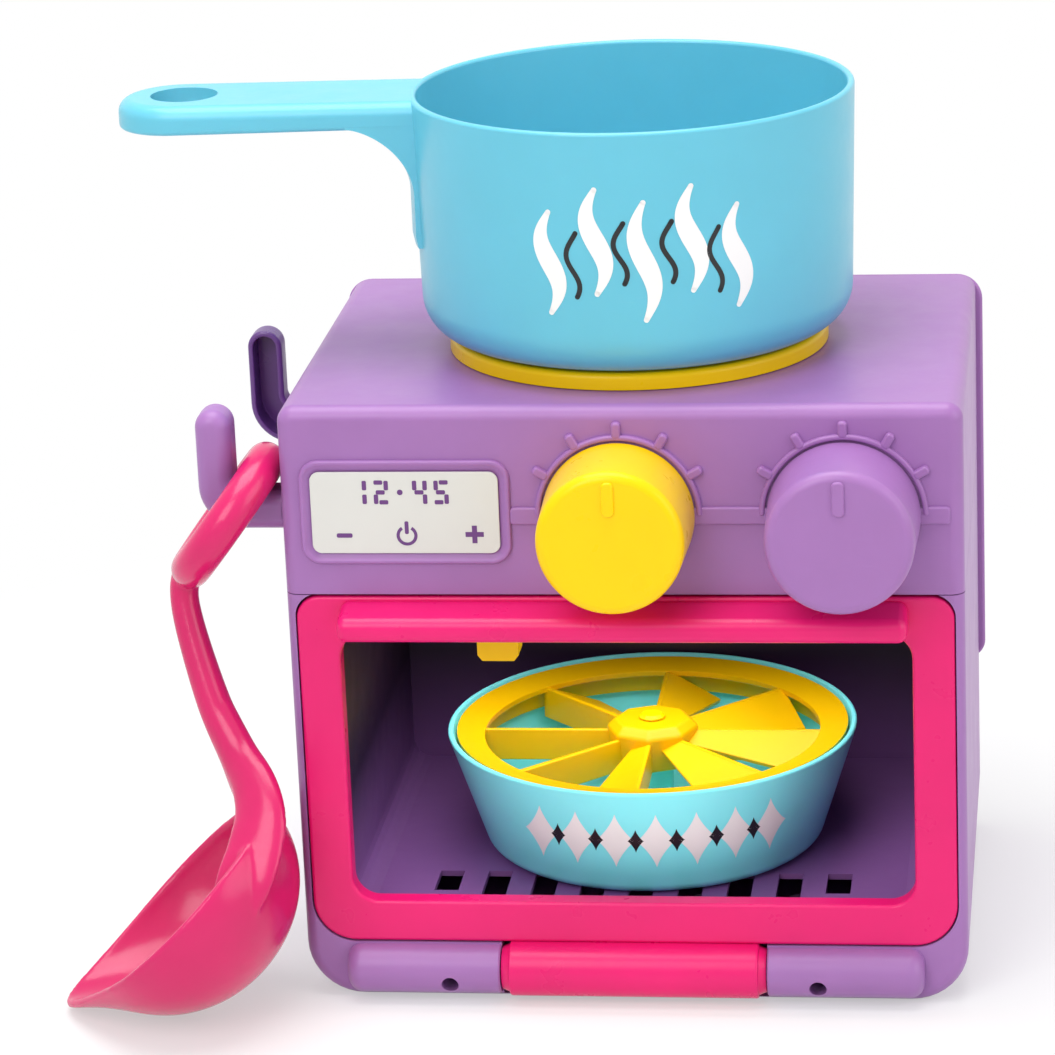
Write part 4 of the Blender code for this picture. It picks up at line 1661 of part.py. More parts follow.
def build():
    make_lower_casing()
    make_upper_casing()
    make_rear_cover()
    make_oven_liner()
    make_shower_plate()
    make_drain_spout()
    make_display_label()
    make_oven_door()
    make_knob("bubble_knob", 0, YELLOW)
    make_knob("click_knob", DIAL_SPACING, PURPLE)
    back = GEAR_MID + RACK_WIDTH / 2 + RUNNING_GAP + BEARING_WALL + ROOT_DEPTH
    make_shaft("bubble_shaft", 0, back)
    make_shaft("click_shaft", DIAL_SPACING, back)
    make_pump_pinion()
    make_pump_rack()
    make_pump_piston()
    make_piston_seal()
    make_pump_cylinder()
    make_cylinder_cap()
    make_mechanism_bracket()
    make_click_ratchet()
    make_click_spring()
    make_hob_ring()
    make_hob_plate()
    make_sump_tray()
    make_air_nozzle()
    make_air_hose()
    for index, (x, z) in enumerate(cup_places()):
        make_suction_cup(index + 1, x, z)
    front_y, rear_y = hook_places()
    make_hook("ladle_hook_front", front_y, 1)
    make_hook("ladle_hook_rear", rear_y, -1)
    for side, word in ((-1, "left"), (1, "right")):
        make_screw("front_screw_" + word, side * BOSS_SCREW_X, FRONT + BOSS_SCREW_SEAT,
                   HINGE_HEIGHT - BOSS_SCREW_DROP, -1, FRONT_FRAME_DEPTH + LEG_SIZE / 3)
        for z, level in ((REAR_POST_LOW, "low"), (REAR_POST_HIGH, "high")):
            make_screw("rear_screw_%s_%s" % (level, word), post_x(side), screw_seat(), z, 1, SCREW_LENGTH)
    make_saucepan()
    make_cake_tin()
    make_spinner_axle()
    make_spinner()
    make_spinner_cap()
    make_ladle()


build()
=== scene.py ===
"""Looks of a bath toy kitchen, laid out as a Blender add-on and run as a script.

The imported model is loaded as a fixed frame. Each operator makes one piece or one group of like
pieces in the frame's own metres, gives it its finish and ties it to the body that it moves with.
"""

import json
import math

import bmesh
import bpy
from bpy.props import FloatProperty, FloatVectorProperty, IntProperty, PointerProperty
from mathutils import Matrix, Vector


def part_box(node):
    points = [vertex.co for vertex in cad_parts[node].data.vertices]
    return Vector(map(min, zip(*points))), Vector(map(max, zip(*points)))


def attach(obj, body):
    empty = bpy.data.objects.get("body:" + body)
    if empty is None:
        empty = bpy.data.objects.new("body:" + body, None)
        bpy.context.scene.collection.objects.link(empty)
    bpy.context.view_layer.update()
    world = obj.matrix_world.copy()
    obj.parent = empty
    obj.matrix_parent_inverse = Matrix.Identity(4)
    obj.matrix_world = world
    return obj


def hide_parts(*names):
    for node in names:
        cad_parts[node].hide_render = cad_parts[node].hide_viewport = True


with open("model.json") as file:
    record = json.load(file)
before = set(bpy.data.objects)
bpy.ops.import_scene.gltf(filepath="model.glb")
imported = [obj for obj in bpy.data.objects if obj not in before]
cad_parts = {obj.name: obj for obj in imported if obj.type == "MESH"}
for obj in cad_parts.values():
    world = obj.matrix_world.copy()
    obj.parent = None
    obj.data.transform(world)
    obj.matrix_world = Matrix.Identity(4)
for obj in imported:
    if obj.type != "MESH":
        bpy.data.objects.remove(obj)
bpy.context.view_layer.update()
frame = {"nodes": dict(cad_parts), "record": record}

bl_info = {
    "name": "Bath Toy Kitchen",
    "version": (1, 0, 0),
    "blender": (4, 5, 0),
    "location": "View3D > Sidebar > Toy Kitchen",
    "description": "Dresses the packed bath toy kitchen with its moulded pieces, prints and finishes",
    "category": "Object",
}

MM = 0.001
SIDES = (-1, 1)

LABEL_LOW, LABEL_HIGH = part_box("display_label")
PAN_LOW, PAN_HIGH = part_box("saucepan")
RING_LOW, RING_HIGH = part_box("hob_ring")
DIAL_LOW, DIAL_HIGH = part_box("bubble_knob")
CLICK_LOW, CLICK_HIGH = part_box("click_knob")
CASING_LOW, CASING_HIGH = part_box("upper_casing")
TIN_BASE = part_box("cake_tin")[0].z
DOOR_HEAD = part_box("oven_door")[1].z

# The cabinet's planes, and the dials' places on its front
FRONT = -73.5 * MM
REAR = CASING_HIGH.y
HALF_WIDTH = CASING_HIGH.x
TOP = CASING_HIGH.z
SEAM = CASING_LOW.z
CABINET_WALL = 2.4 * MM
DIAL_Z = (DIAL_LOW.z + DIAL_HIGH.z) / 2
CLICK_X = (CLICK_LOW.x + CLICK_HIGH.x) / 2

# The door's hinge, and the cutters' reach: past a wall, and past the whole toy
HINGE_Y = FRONT + 0.5 * MM
HINGE_Z = 10 * MM
DOOR_FOOT = HINGE_Z + 8.4 * MM
BARREL_HALF = 37.6 * MM
BEYOND = 10 * MM
FAR = 1.0


# Settings that a user would change

def colour_setting(name, description, *default):
    return FloatVectorProperty(name=name, description=description, default=default,
                               subtype="COLOR", min=0, max=1)


def length_setting(name, description, default, least, most):
    return FloatProperty(name=name, description=description, default=default, min=least, max=most,
                         subtype="DISTANCE", unit="LENGTH", precision=6)


class KitchenColours(bpy.types.PropertyGroup):
    cabinet: colour_setting(
        "Cabinet", "Purple of the cabinet, the right dial and the front hook", 0.350, 0.158, 0.425)
    # Painted shade: the rear hook's purple is a darker copy of the cabinet's purple, standing in for the
    # shade it hangs in.
    rear_hook_shade: colour_setting("Rear hook", "Darker purple of the rear hook", 0.130, 0.045, 0.225)
    # The floor's purple is the liner's own colour; the darkening up the walls is painted shade.
    cavity: colour_setting(
        "Oven cavity", "Purple of the oven's floor, darker up the walls", 0.210, 0.086, 0.275)
    door: colour_setting("Door", "Pink of the oven door", 0.790, 0.008, 0.160)
    ladle: colour_setting("Ladle", "Pink of the ladle", 0.640, 0.010, 0.125)
    dial: colour_setting("Dial", "Yellow of the left dial, the hob and the spout", 0.935, 0.600, 0.000)
    # Painted shade: the wheel's yellow is a darker copy of the dial's yellow, to offset the light it gets in
    # the oven.
    wheel: colour_setting("Wheel", "Yellow of the water wheel", 0.900, 0.500, 0.000)
    pan: colour_setting("Pan", "Light blue of the pan", 0.122, 0.515, 0.665)
    # Painted light: the tin's blue is a lighter copy of the pan's blue, standing in for light that the oven
    # keeps off it.
    tin: colour_setting("Cake tin", "Light blue of the cake tin", 0.240, 0.900, 0.960)
    label: colour_setting("Display card", "Pale grey of the display's card", 0.640, 0.640, 0.605)
    ink: colour_setting("Display ink", "Purple ink of the digits and signs", 0.130, 0.036, 0.190)


class KitchenFinish(bpy.types.PropertyGroup):
    peel: length_setting("Moulding ripple", "Height of the soft ripple left by the mould", 0.000045, 0, 0.001)
    grain: length_setting("Fine grain", "Height of the mould's fine texture", 0.000010, 0, 0.001)
    scuffs: FloatProperty(
        name="Scuffs", description="How strongly light rubbing shows on the surfaces",
        default=0.15, min=0, max=1, subtype="FACTOR")


class KitchenShape(bpy.types.PropertyGroup):
    turns: IntProperty(
        name="Round steps", description="Facets around the pan, the tin and the dials",
        default=112, min=24, max=256)
    edge_steps: IntProperty(
        name="Edge steps", description="Half of the steps across the cabinet's rounded front edge",
        default=5, min=1, max=12)
    fascia_edge: length_setting(
        "Fascia edge", "Radius of the cabinet's front edges", 4.2 * MM, 0.5 * MM, 5 * MM)
    print_gap: length_setting(
        "Print thickness", "How far a print stands off the moulding", 0.07 * MM, 0.02 * MM, 0.5 * MM)


def colours():
    return bpy.context.scene.kitchen_colours


def finishes():
    return bpy.context.scene.kitchen_finish


def shape():
    return bpy.context.scene.kitchen_shape


# Mesh helpers

def add_object(name, mesh, at=Matrix.Identity(4)):
    obj = bpy.data.objects.new(name, mesh)
    obj.matrix_world = at
    bpy.context.scene.collection.objects.link(obj)
    return obj


def mesh_object(name, bm):
    mesh = bpy.data.meshes.new(name)
    bm.to_mesh(mesh)
    bm.free()
    return add_object(name, mesh)


def evaluated_mesh(obj):
    bpy.context.view_layer.update()
    graph = bpy.context.evaluated_depsgraph_get()
    return bpy.data.meshes.new_from_object(obj.evaluated_get(graph))


def baked(obj):
    # Applies the object's modifiers.
    mesh = evaluated_mesh(obj)
    obj.modifiers.clear()
    obj.data = mesh
    return obj


def in_place(obj):
    # Writes the object's placing into its mesh.
    bpy.context.view_layer.update()
    obj.data.transform(obj.matrix_world)
    if obj.matrix_world.is_negative:
        obj.data.flip_normals()
    obj.matrix_world = Matrix.Identity(4)
    return obj


def boolean(obj, others, operation):
    for other in others:
        modifier = obj.modifiers.new(other.name, "BOOLEAN")
        modifier.operation = operation
        modifier.solver = "EXACT"
        modifier.object = other
    baked(obj)
    for other in others:
        bpy.data.objects.remove(other, do_unlink=True)
    return obj


def cut(obj, *others):
    return boolean(obj, others, "DIFFERENCE")


def fused(obj, *others):
    return boolean(obj, others, "UNION")


def together(obj, *others):
    # Puts separate closed shapes into one mesh.
    bm = bmesh.new()
    for one in (obj, *others):
        in_place(baked(one))
        bm.from_mesh(one.data)
    bm.to_mesh(obj.data)
    bm.free()
    for other in others:
        bpy.data.objects.remove(other, do_unlink=True)
    return obj


def rounded(obj, width, steps, angle=40):
    # Rounds the edges that are sharper than this angle.
    modifier = obj.modifiers.new("rounded_edges", "BEVEL")
    modifier.width = width
    modifier.segments = steps
    modifier.limit_method = "ANGLE"
    modifier.angle_limit = math.radians(angle)
    modifier.use_clamp_overlap = True
    return baked(obj)


def circle(steps):
    return [(math.cos(2 * math.pi * k / steps), math.sin(2 * math.pi * k / steps)) for k in range(steps)]


def soft_edge(radius, steps):
    # How far an outline is drawn in, and how far it has risen, at each step across a rounded edge.
    turns = [math.radians(90 * i / steps) for i in range(steps + 1)]
    return [(radius * (1 - math.sin(turn)), radius * (1 - math.cos(turn))) for turn in turns]


def arc(cx, cy, radius, start, end, steps):
    angles = [math.radians(start + (end - start) * i / steps) for i in range(steps + 1)]
    return [(cx + radius * math.cos(a), cy + radius * math.sin(a)) for a in angles]


def rounded_side(radius, low, high, edge, steps):
    # The outer side of a turned piece, from low to high, with both of its edges rounded.
    return (arc(radius - edge, low + edge, edge, -90, 0, steps)
            + arc(radius - edge, high - edge, edge, 0, 90, steps))


def round_rect(width, height, low, high=None, steps=8):
    # An outline about its middle; low and high are the radii of the lower and upper corners.
    high = low if high is None else high
    x = width / 2
    y = height / 2
    return (arc(x - high, y - high, high, 0, 90, steps) + arc(high - x, y - high, high, 90, 180, steps)
            + arc(low - x, low - y, low, 180, 270, steps) + arc(x - low, low - y, low, 270, 360, steps))


def loft(name, rings, round_way=True, caps=(True, True), closed_ends=False):
    # Quads between rings of points; a ring of one point closes to a tip.
    bm = bmesh.new()
    rows = [[bm.verts.new(p) for p in ring] for ring in rings]
    pairs = list(zip(rows, rows[1:]))
    if closed_ends:
        pairs.append((rows[-1], rows[0]))
    for low, high in pairs:
        count = max(len(low), len(high))
        for i in range(count if round_way else count - 1):
            j = (i + 1) % count
            corners = []
            for vert in (low[i % len(low)], low[j % len(low)], high[j % len(high)], high[i % len(high)]):
                if vert not in corners:
                    corners.append(vert)
            if len(corners) > 2:
                bm.faces.new(corners)
    if caps[0] and len(rows[0]) > 2 and not closed_ends:
        bm.faces.new(reversed(rows[0]))
    if caps[1] and len(rows[-1]) > 2 and not closed_ends:
        bm.faces.new(rows[-1])
    bmesh.ops.recalc_face_normals(bm, faces=bm.faces)
    return mesh_object(name, bm)


def turned(name, profile, centre=(0, 0, 0), turn=Matrix.Identity(4), steps=None, closed=False):
    # Revolves (radius, height) points about the piece's own Z axis.
    around = circle(steps or shape().turns)
    rings = []
    for radius, height in profile:
        rings.append([(radius * c, radius * s, height) for c, s in around] if radius else [(0, 0, height)])
    obj = loft(name, rings, closed_ends=closed)
    obj.matrix_world = Matrix.Translation(centre) @ turn
    return obj


def plate(name, outline, depth, at=Matrix.Identity(4), holes=()):
    # A flat piece cut to an outline in its own XY plane, half of its depth to each side.
    curve = bpy.data.curves.new(name, "CURVE")
    curve.dimensions = "2D"
    curve.fill_mode = "BOTH"
    curve.extrude = depth / 2
    for points in (outline, *holes):
        spline = curve.splines.new("POLY")
        spline.points.add(len(points) - 1)
        for point, (x, y) in zip(spline.points, points):
            point.co = (x, y, 0, 1)
        spline.use_cyclic_u = True
    source = add_object(name + "_curve", curve, at)
    mesh = evaluated_mesh(source)
    bpy.data.objects.remove(source, do_unlink=True)
    bpy.data.curves.remove(curve)
    bm = bmesh.new()
    bm.from_mesh(mesh)
    bmesh.ops.remove_doubles(bm, verts=bm.verts, dist=1e-6)
    bmesh.ops.dissolve_limit(bm, angle_limit=0.001, verts=bm.verts, edges=bm.edges)
    bmesh.ops.recalc_face_normals(bm, faces=bm.faces)
    bm.to_mesh(mesh)
    bm.free()
    return add_object(name, mesh, at)


def block(name, low, high):
    low = Vector(low)
    high = Vector(high)
    bm = bmesh.new()
    bmesh.ops.create_cube(bm, size=1.0)
    bmesh.ops.scale(bm, vec=high - low, verts=bm.verts)
    bmesh.ops.translate(bm, vec=(high + low) / 2, verts=bm.verts)
    return mesh_object(name, bm)


def bar(name, radius, start, end, end_radius=None, steps=48):
    # A round bar between two points, tapering where end_radius is given.
    start = Vector(start)
    end = Vector(end)
    turn = (end - start).to_track_quat("Z", "Y").to_matrix().to_4x4()
    length = (end - start).length
    tip = radius if end_radius is None else end_radius
    return turned(name, [(0, 0), (radius, 0), (tip, length), (0, length)], start, turn, steps)


def smooth_route(points, steps):
    # A smooth curve through every point, with this many steps between two of them.
    route = []
    last = len(points) - 1
    for i in range(last):
        p0, p1 = Vector(points[max(i - 1, 0)]), Vector(points[i])
        p2, p3 = Vector(points[i + 1]), Vector(points[min(i + 2, last)])
        for k in range(steps):
            t = k / steps
            route.append(0.5 * (2 * p1 + (p2 - p0) * t + (2 * p0 - 5 * p1 + 4 * p2 - p3) * t ** 2
                                + (3 * p1 - p0 - 3 * p2 + p3) * t ** 3))
    route.append(Vector(points[last]))
    return route


def ahead_at(route, i):
    return (route[min(i + 1, len(route) - 1)] - route[max(i - 1, 0)]).normalized()


def tube(name, route, radii, sides):
    # A round bar along a route, its rings carried along without twist.
    rings = []
    side = ahead_at(route, 0).orthogonal().normalized()
    for i, point in enumerate(route):
        ahead = ahead_at(route, i)
        side = (side - ahead * side.dot(ahead)).normalized()
        up = ahead.cross(side)
        rings.append([point + (side * c + up * s) * radii[i] for c, s in circle(sides)])
    return loft(name, rings)


def turn_about(axis, degrees):
    return Matrix.Rotation(math.radians(degrees), 4, axis)


FACING_FRONT = turn_about("X", 90)
FACING_REAR = turn_about("X", -90)
FACING_SIDE = turn_about("Z", 90) @ FACING_FRONT


def placed(x, y, z, turn=Matrix.Identity(4)):
    return Matrix.Translation((x, y, z)) @ turn


def on_hinge(x):
    return (x, HINGE_Y, HINGE_Z)


def on_fascia(name, outline, depth, x, z, out, edge):
    # A raised shape with soft edges on the cabinet's front, its middle plane this far out.
    return rounded(plate(name, outline, depth, placed(x, FRONT - out, z, FACING_FRONT)), edge, 5)


def dress(obj, material, body, slot, *nodes, smooth=35):
    """Gives a finished shape its material, its shading and its place in the frame."""
    in_place(baked(obj))
    mesh = obj.data
    mesh.materials.clear()
    mesh.materials.append(material)
    for face in mesh.polygons:
        face.material_index = 0
    mesh.shade_smooth()
    mesh.set_sharp_from_angle(angle=math.radians(smooth))
    weighted = obj.modifiers.new("even_shading", "WEIGHTED_NORMAL")
    weighted.keep_sharp = True
    weighted.weight = 60
    baked(obj)
    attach(obj, body)
    if nodes:
        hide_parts(*nodes)
    return obj


# Finishes

SURFACE_OUTPUTS = (
    ("Colour", "NodeSocketColor"), ("Roughness", "NodeSocketFloat"), ("Height", "NodeSocketFloat"))
MOULDED_INPUTS = (
    ("Vector", "NodeSocketVector", (0, 0, 0)), ("Colour", "NodeSocketColor", (1, 1, 1, 1)),
    ("Deep Colour", "NodeSocketColor", (0.8, 0.8, 0.8, 1)), ("Roughness", "NodeSocketFloat", 0.35),
    ("Ripple", "NodeSocketFloat", 0.00004), ("Grain", "NodeSocketFloat", 0.00001),
    ("Scuffs", "NodeSocketFloat", 0.3))
STEEL_INPUTS = (
    ("Vector", "NodeSocketVector", (0, 0, 0)), ("Colour", "NodeSocketColor", (0.6, 0.6, 0.62, 1)),
    ("Roughness", "NodeSocketFloat", 0.3))


def group(name, inputs):
    # A new surface group, the sockets that it is given, and those that it puts out.
    tree = bpy.data.node_groups.new(name, "ShaderNodeTree")
    for label, kind, value in inputs:
        tree.interface.new_socket(name=label, in_out="INPUT", socket_type=kind).default_value = value
    for label, kind in SURFACE_OUTPUTS:
        tree.interface.new_socket(name=label, in_out="OUTPUT", socket_type=kind)
    return tree, tree.nodes.new("NodeGroupInput").outputs, tree.nodes.new("NodeGroupOutput").inputs


def put_out(tree, out, colour, roughness, height):
    tree.links.new(colour, out["Colour"])
    tree.links.new(roughness, out["Roughness"])
    tree.links.new(height, out["Height"])


def fill(tree, socket, value):
    # A number or a colour is set on the socket, and another socket is linked to it.
    if isinstance(value, tuple):
        socket.default_value = (*value, 1.0)
    elif isinstance(value, (int, float)):
        socket.default_value = value
    else:
        tree.links.new(value, socket)


def math_node(tree, operation, a, b, clamp=False):
    node = tree.nodes.new("ShaderNodeMath")
    node.operation = operation
    node.use_clamp = clamp
    fill(tree, node.inputs[0], a)
    fill(tree, node.inputs[1], b)
    return node.outputs[0]


def product(tree, a, b):
    return math_node(tree, "MULTIPLY", a, b)


def noise(tree, place, scale, detail, roughness):
    node = tree.nodes.new("ShaderNodeTexNoise")
    node.inputs["Scale"].default_value = scale
    node.inputs["Detail"].default_value = detail
    node.inputs["Roughness"].default_value = roughness
    tree.links.new(place, node.inputs["Vector"])
    return node.outputs["Fac"]


def stretched(tree, place, scale):
    node = tree.nodes.new("ShaderNodeMapping")
    node.inputs["Scale"].default_value = scale
    tree.links.new(place, node.inputs["Vector"])
    return node.outputs["Vector"]


def ranged(tree, value, low, high, to_low=0.0, to_high=1.0):
    # Maps the stretch from low to high to that from to_low to to_high, and holds it there.
    node = tree.nodes.new("ShaderNodeMapRange")
    tree.links.new(value, node.inputs["Value"])
    for label, given in (("From Min", low), ("From Max", high), ("To Min", to_low), ("To Max", to_high)):
        node.inputs[label].default_value = given
    return node.outputs["Result"]


def blended(tree, factor, a, b):
    node = tree.nodes.new("ShaderNodeMix")
    node.data_type = "RGBA"
    for index, value in ((0, factor), (6, a), (7, b)):
        fill(tree, node.inputs[index], value)
    return node.outputs[2]


def moulded_surface_group():
    """Broad tint, mould ripple, fine grain and light rubbing of an injection moulded wall."""
    tree, given, out = group("moulded_surface", MOULDED_INPUTS)
    place = given["Vector"]
    broad = noise(tree, place, scale=24.0, detail=4.0, roughness=0.55)
    cloud = noise(tree, place, scale=95.0, detail=3.0, roughness=0.5)
    ripple = noise(tree, place, scale=260.0, detail=1.5, roughness=0.4)
    grain = noise(tree, place, scale=3200.0, detail=2.0, roughness=0.6)
    colour = blended(tree, ranged(tree, broad, 0.30, 0.70), given["Deep Colour"], given["Colour"])
    lines = []
    for stretch, start, full in (((90, 900, 2200), 0.66, 0.74), ((1900, 110, 700), 0.67, 0.75)):
        streaks = noise(tree, stretched(tree, place, stretch), scale=1.0, detail=2.0, roughness=0.6)
        lines.append(ranged(tree, streaks, start, full))
    patches = ranged(tree, cloud, 0.45, 0.65)
    rub = product(tree, product(tree, math_node(tree, "MAXIMUM", *lines), patches), given["Scuffs"])
    paler = 0.35
    pale = blended(tree, paler, colour, (1.0, 1.0, 1.0))
    colour = blended(tree, product(tree, rub, paler), colour, pale)
    spread = 0.035
    rough = math_node(tree, "ADD", given["Roughness"], ranged(tree, cloud, 0.3, 0.7, -spread, spread))
    rub_roughness = 0.18
    rough = math_node(tree, "ADD", rough, product(tree, rub, rub_roughness), clamp=True)
    rub_depth = 0.012 * MM
    height = math_node(tree, "ADD", product(tree, ripple, given["Ripple"]),
                       product(tree, grain, given["Grain"]))
    height = math_node(tree, "SUBTRACT", height, product(tree, rub, rub_depth))
    put_out(tree, out, colour, rough, height)


def shaded_cavity_surface_group():
    """The moulded surface in a colour that darkens from the oven's floor up its walls, a painted shade."""
    tree, given, out = group("shaded_cavity_surface", MOULDED_INPUTS)
    moulding = tree.nodes.new("ShaderNodeGroup")
    moulding.node_tree = bpy.data.node_groups["moulded_surface"]
    for label, _, _ in MOULDED_INPUTS:
        tree.links.new(given["Colour" if label == "Deep Colour" else label], moulding.inputs[label])
    apart = tree.nodes.new("ShaderNodeSeparateXYZ")
    tree.links.new(given["Vector"], apart.inputs[0])
    # Painted shade: the colour goes from the floor's purple to the much darker Deep Colour up the walls.
    rise = ranged(tree, apart.outputs["Z"], 28 * MM, 62 * MM)
    colour = blended(tree, rise, moulding.outputs["Colour"], given["Deep Colour"])
    put_out(tree, out, colour, moulding.outputs["Roughness"], moulding.outputs["Height"])


def plated_steel_group():
    """Fine turning lines and dull spots of plated steel."""
    tree, given, out = group("plated_steel_surface", STEEL_INPUTS)
    place = given["Vector"]
    dull = (0.33, 0.32, 0.30)
    line_height = 0.01 * MM
    spots = noise(tree, place, scale=900.0, detail=3.0, roughness=0.6)
    lines = noise(tree, stretched(tree, place, (400, 400, 9000)), scale=1.0, detail=2.0, roughness=0.5)
    colour = blended(tree, ranged(tree, spots, 0.35, 0.75, 0.0, 0.6), given["Colour"], dull)
    rough = ranged(tree, spots, 0.3, 0.7, -0.08, 0.14)
    rough = math_node(tree, "ADD", given["Roughness"], rough, clamp=True)
    put_out(tree, out, colour, rough, product(tree, lines, line_height))


SHADER_SOCKETS = {
    "coat": "Coat Weight", "subsurface": "Subsurface Weight", "metallic": "Metallic",
    "specular": "Specular IOR Level", "transmission": "Transmission Weight",
}


def surface_material(name, tree_name, values, **constants):
    """A Principled material fed by one of the surface groups; constants go on the shader's own sockets."""
    material = bpy.data.materials.get(name)
    if material:
        return material
    material = bpy.data.materials.new(name)
    material.use_nodes = True
    tree = material.node_tree
    shader = tree.nodes["Principled BSDF"]
    place = tree.nodes.new("ShaderNodeTexCoord")
    surface = tree.nodes.new("ShaderNodeGroup")
    surface.node_tree = bpy.data.node_groups[tree_name]
    tree.links.new(place.outputs["Object"], surface.inputs["Vector"])
    for label, value in values.items():
        fill(tree, surface.inputs[label], value)
    bump = tree.nodes.new("ShaderNodeBump")
    bump.inputs["Strength"].default_value = 1.0
    bump.inputs["Distance"].default_value = 1.0
    tree.links.new(surface.outputs["Height"], bump.inputs["Height"])
    tree.links.new(surface.outputs["Colour"], shader.inputs["Base Color"])
    tree.links.new(surface.outputs["Roughness"], shader.inputs["Roughness"])
    tree.links.new(bump.outputs["Normal"], shader.inputs["Normal"])
    shader.inputs["Coat Roughness"].default_value = 0.12
    shader.inputs["Subsurface Scale"].default_value = 4 * MM
    for label, value in constants.items():
        shader.inputs[SHADER_SOCKETS[label]].default_value = value
    material.diffuse_color = (*values["Colour"], 1.0)
    return material


def moulded(name, colour, roughness, deep=0.90, ripple=1.0, grain=1.0, scuffs=1.0,
            tree_name="moulded_surface", **constants):
    """A moulded plastic; deep is the share of its colour in the darkest patches, and on the upper walls of
    the shaded cavity surface, where it is painted shade; the rest are strengths.
    """
    finish = finishes()
    return surface_material(name, tree_name, {
        "Colour": tuple(colour),
        "Deep Colour": tuple(c * deep for c in colour),
        "Roughness": roughness,
        "Ripple": finish.peel * ripple,
        "Grain": finish.grain * grain,
        "Scuffs": finish.scuffs * scuffs,
    }, **constants)


def purple():
    return moulded("cabinet_purple", colours().cabinet, 0.36, grain=1.5, scuffs=0.8, subsurface=0.03,
                   specular=0.42)


def shaded_hook_purple():
    # Painted shade: a darker copy of the cabinet's purple for the rear hook, which hangs in shade.
    return moulded("shaded_hook_purple", colours().rear_hook_shade, 0.30, scuffs=0.5)


def shaded_cavity_purple():
    # deep is the share of the colour left on the upper walls, a painted shade.
    return moulded("shaded_cavity_purple", colours().cavity, 0.46, deep=0.11, grain=3.0, scuffs=0.6,
                   tree_name="shaded_cavity_surface")


def pink():
    return moulded("door_pink", colours().door, 0.30, scuffs=0.0, specular=0.34)


def ladle_pink():
    return moulded("ladle_pink", colours().ladle, 0.22, scuffs=0.5, ripple=1.4, specular=0.42)


def yellow():
    return moulded("dial_yellow", colours().dial, 0.30, deep=0.95, scuffs=0.2, specular=0.22)


def shaded_wheel_yellow():
    # Painted shade: a darker copy of the dial's yellow for the wheel in the oven.
    return moulded("shaded_wheel_yellow", colours().wheel, 0.33, deep=0.94, scuffs=0.3, specular=0.36)


def blue():
    return moulded("pan_blue", colours().pan, 0.33, deep=0.94, subsurface=0.08, coat=0.06)


def lit_tin_blue():
    # Painted light: a lighter copy of the pan's blue for the tin in the shaded oven.
    return moulded("lit_tin_blue", colours().tin, 0.33, deep=0.94, subsurface=0.08, coat=0.06)


def acetal():
    return moulded("white_acetal", (0.80, 0.80, 0.77), 0.42, deep=0.95, ripple=0.5)


def soft_clear():
    return moulded("clear_soft_pvc", (0.72, 0.76, 0.78), 0.18, deep=0.96, ripple=1.6, subsurface=0.2,
                   transmission=0.55)


def steel():
    return surface_material("zinc_plated_steel", "plated_steel_surface",
                            {"Colour": (0.62, 0.62, 0.64), "Roughness": 0.28}, metallic=1.0)


def card():
    return moulded("display_card", colours().label, 0.40, deep=0.97, ripple=0.3, scuffs=0.5, coat=0.25)


def display_ink():
    return moulded("display_ink", colours().ink, 0.42, deep=0.9, ripple=0.3, grain=1.0, scuffs=0.3)


def print_white():
    return moulded("print_white", (0.86, 0.86, 0.85), 0.34, deep=0.97, ripple=0.8, scuffs=0.6)


def print_black():
    return moulded("print_black", (0.012, 0.012, 0.014), 0.32, deep=0.8, ripple=0.8, scuffs=0.8)


def make_finishes():
    moulded_surface_group()
    shaded_cavity_surface_group()
    plated_steel_group()


# Cabinet

def cabinet_body(name, inset, front, rear, edge):
    """The cabinet's section lofted from front to rear, its front edges rounded."""
    width = 2 * HALF_WIDTH - 2 * inset
    height = TOP - 2 * inset
    low = 17 * MM - inset
    high = 5 * MM - inset
    least = 0.4 * MM
    rings = []
    for drawn, back in soft_edge(edge, shape().edge_steps * 2) if edge else [(0, 0)]:
        outline = round_rect(width - 2 * drawn, height - 2 * drawn, max(low - drawn, least),
                             max(high - drawn, least), 10)
        rings.append([(x, front + back, z + TOP / 2) for x, z in outline])
    rings.append([(x, rear, z) for x, _, z in rings[-1]])
    return loft(name, rings)


def make_upper_casing():
    hob_hole = 50 * MM
    through = 20 * MM
    casing = cabinet_body("cabinet_top", 0, FRONT, REAR, shape().fascia_edge)
    cut(casing,
        cabinet_body("cavity", CABINET_WALL, FRONT + CABINET_WALL, REAR + CABINET_WALL, 0),
        block("below_seam", (-FAR, -FAR, -FAR), (FAR, FAR, SEAM)),
        turned("hob_hole", [(0, -through), (hob_hole, -through), (hob_hole, through), (0, through)],
               (0, 0, TOP), steps=96))
    extras = [display_frame(), fascia_band()]
    for x in (0, CLICK_X):
        extras.append(dial_arc(x))
        extras += [dial_mark(x, index) for index in range(1, 6)]
    return together(casing, *extras)


def fascia_band():
    """The raised band at dial height that runs from the display's frame past both dials."""
    start = -32 * MM
    end = 96.1 * MM
    outline = round_rect(end - start, 5.3 * MM, 1.2 * MM, steps=6)
    return on_fascia("fascia_band", outline, 1.9 * MM, (start + end) / 2, DIAL_Z - 0.1 * MM,
                     out=0.05 * MM, edge=0.7 * MM)


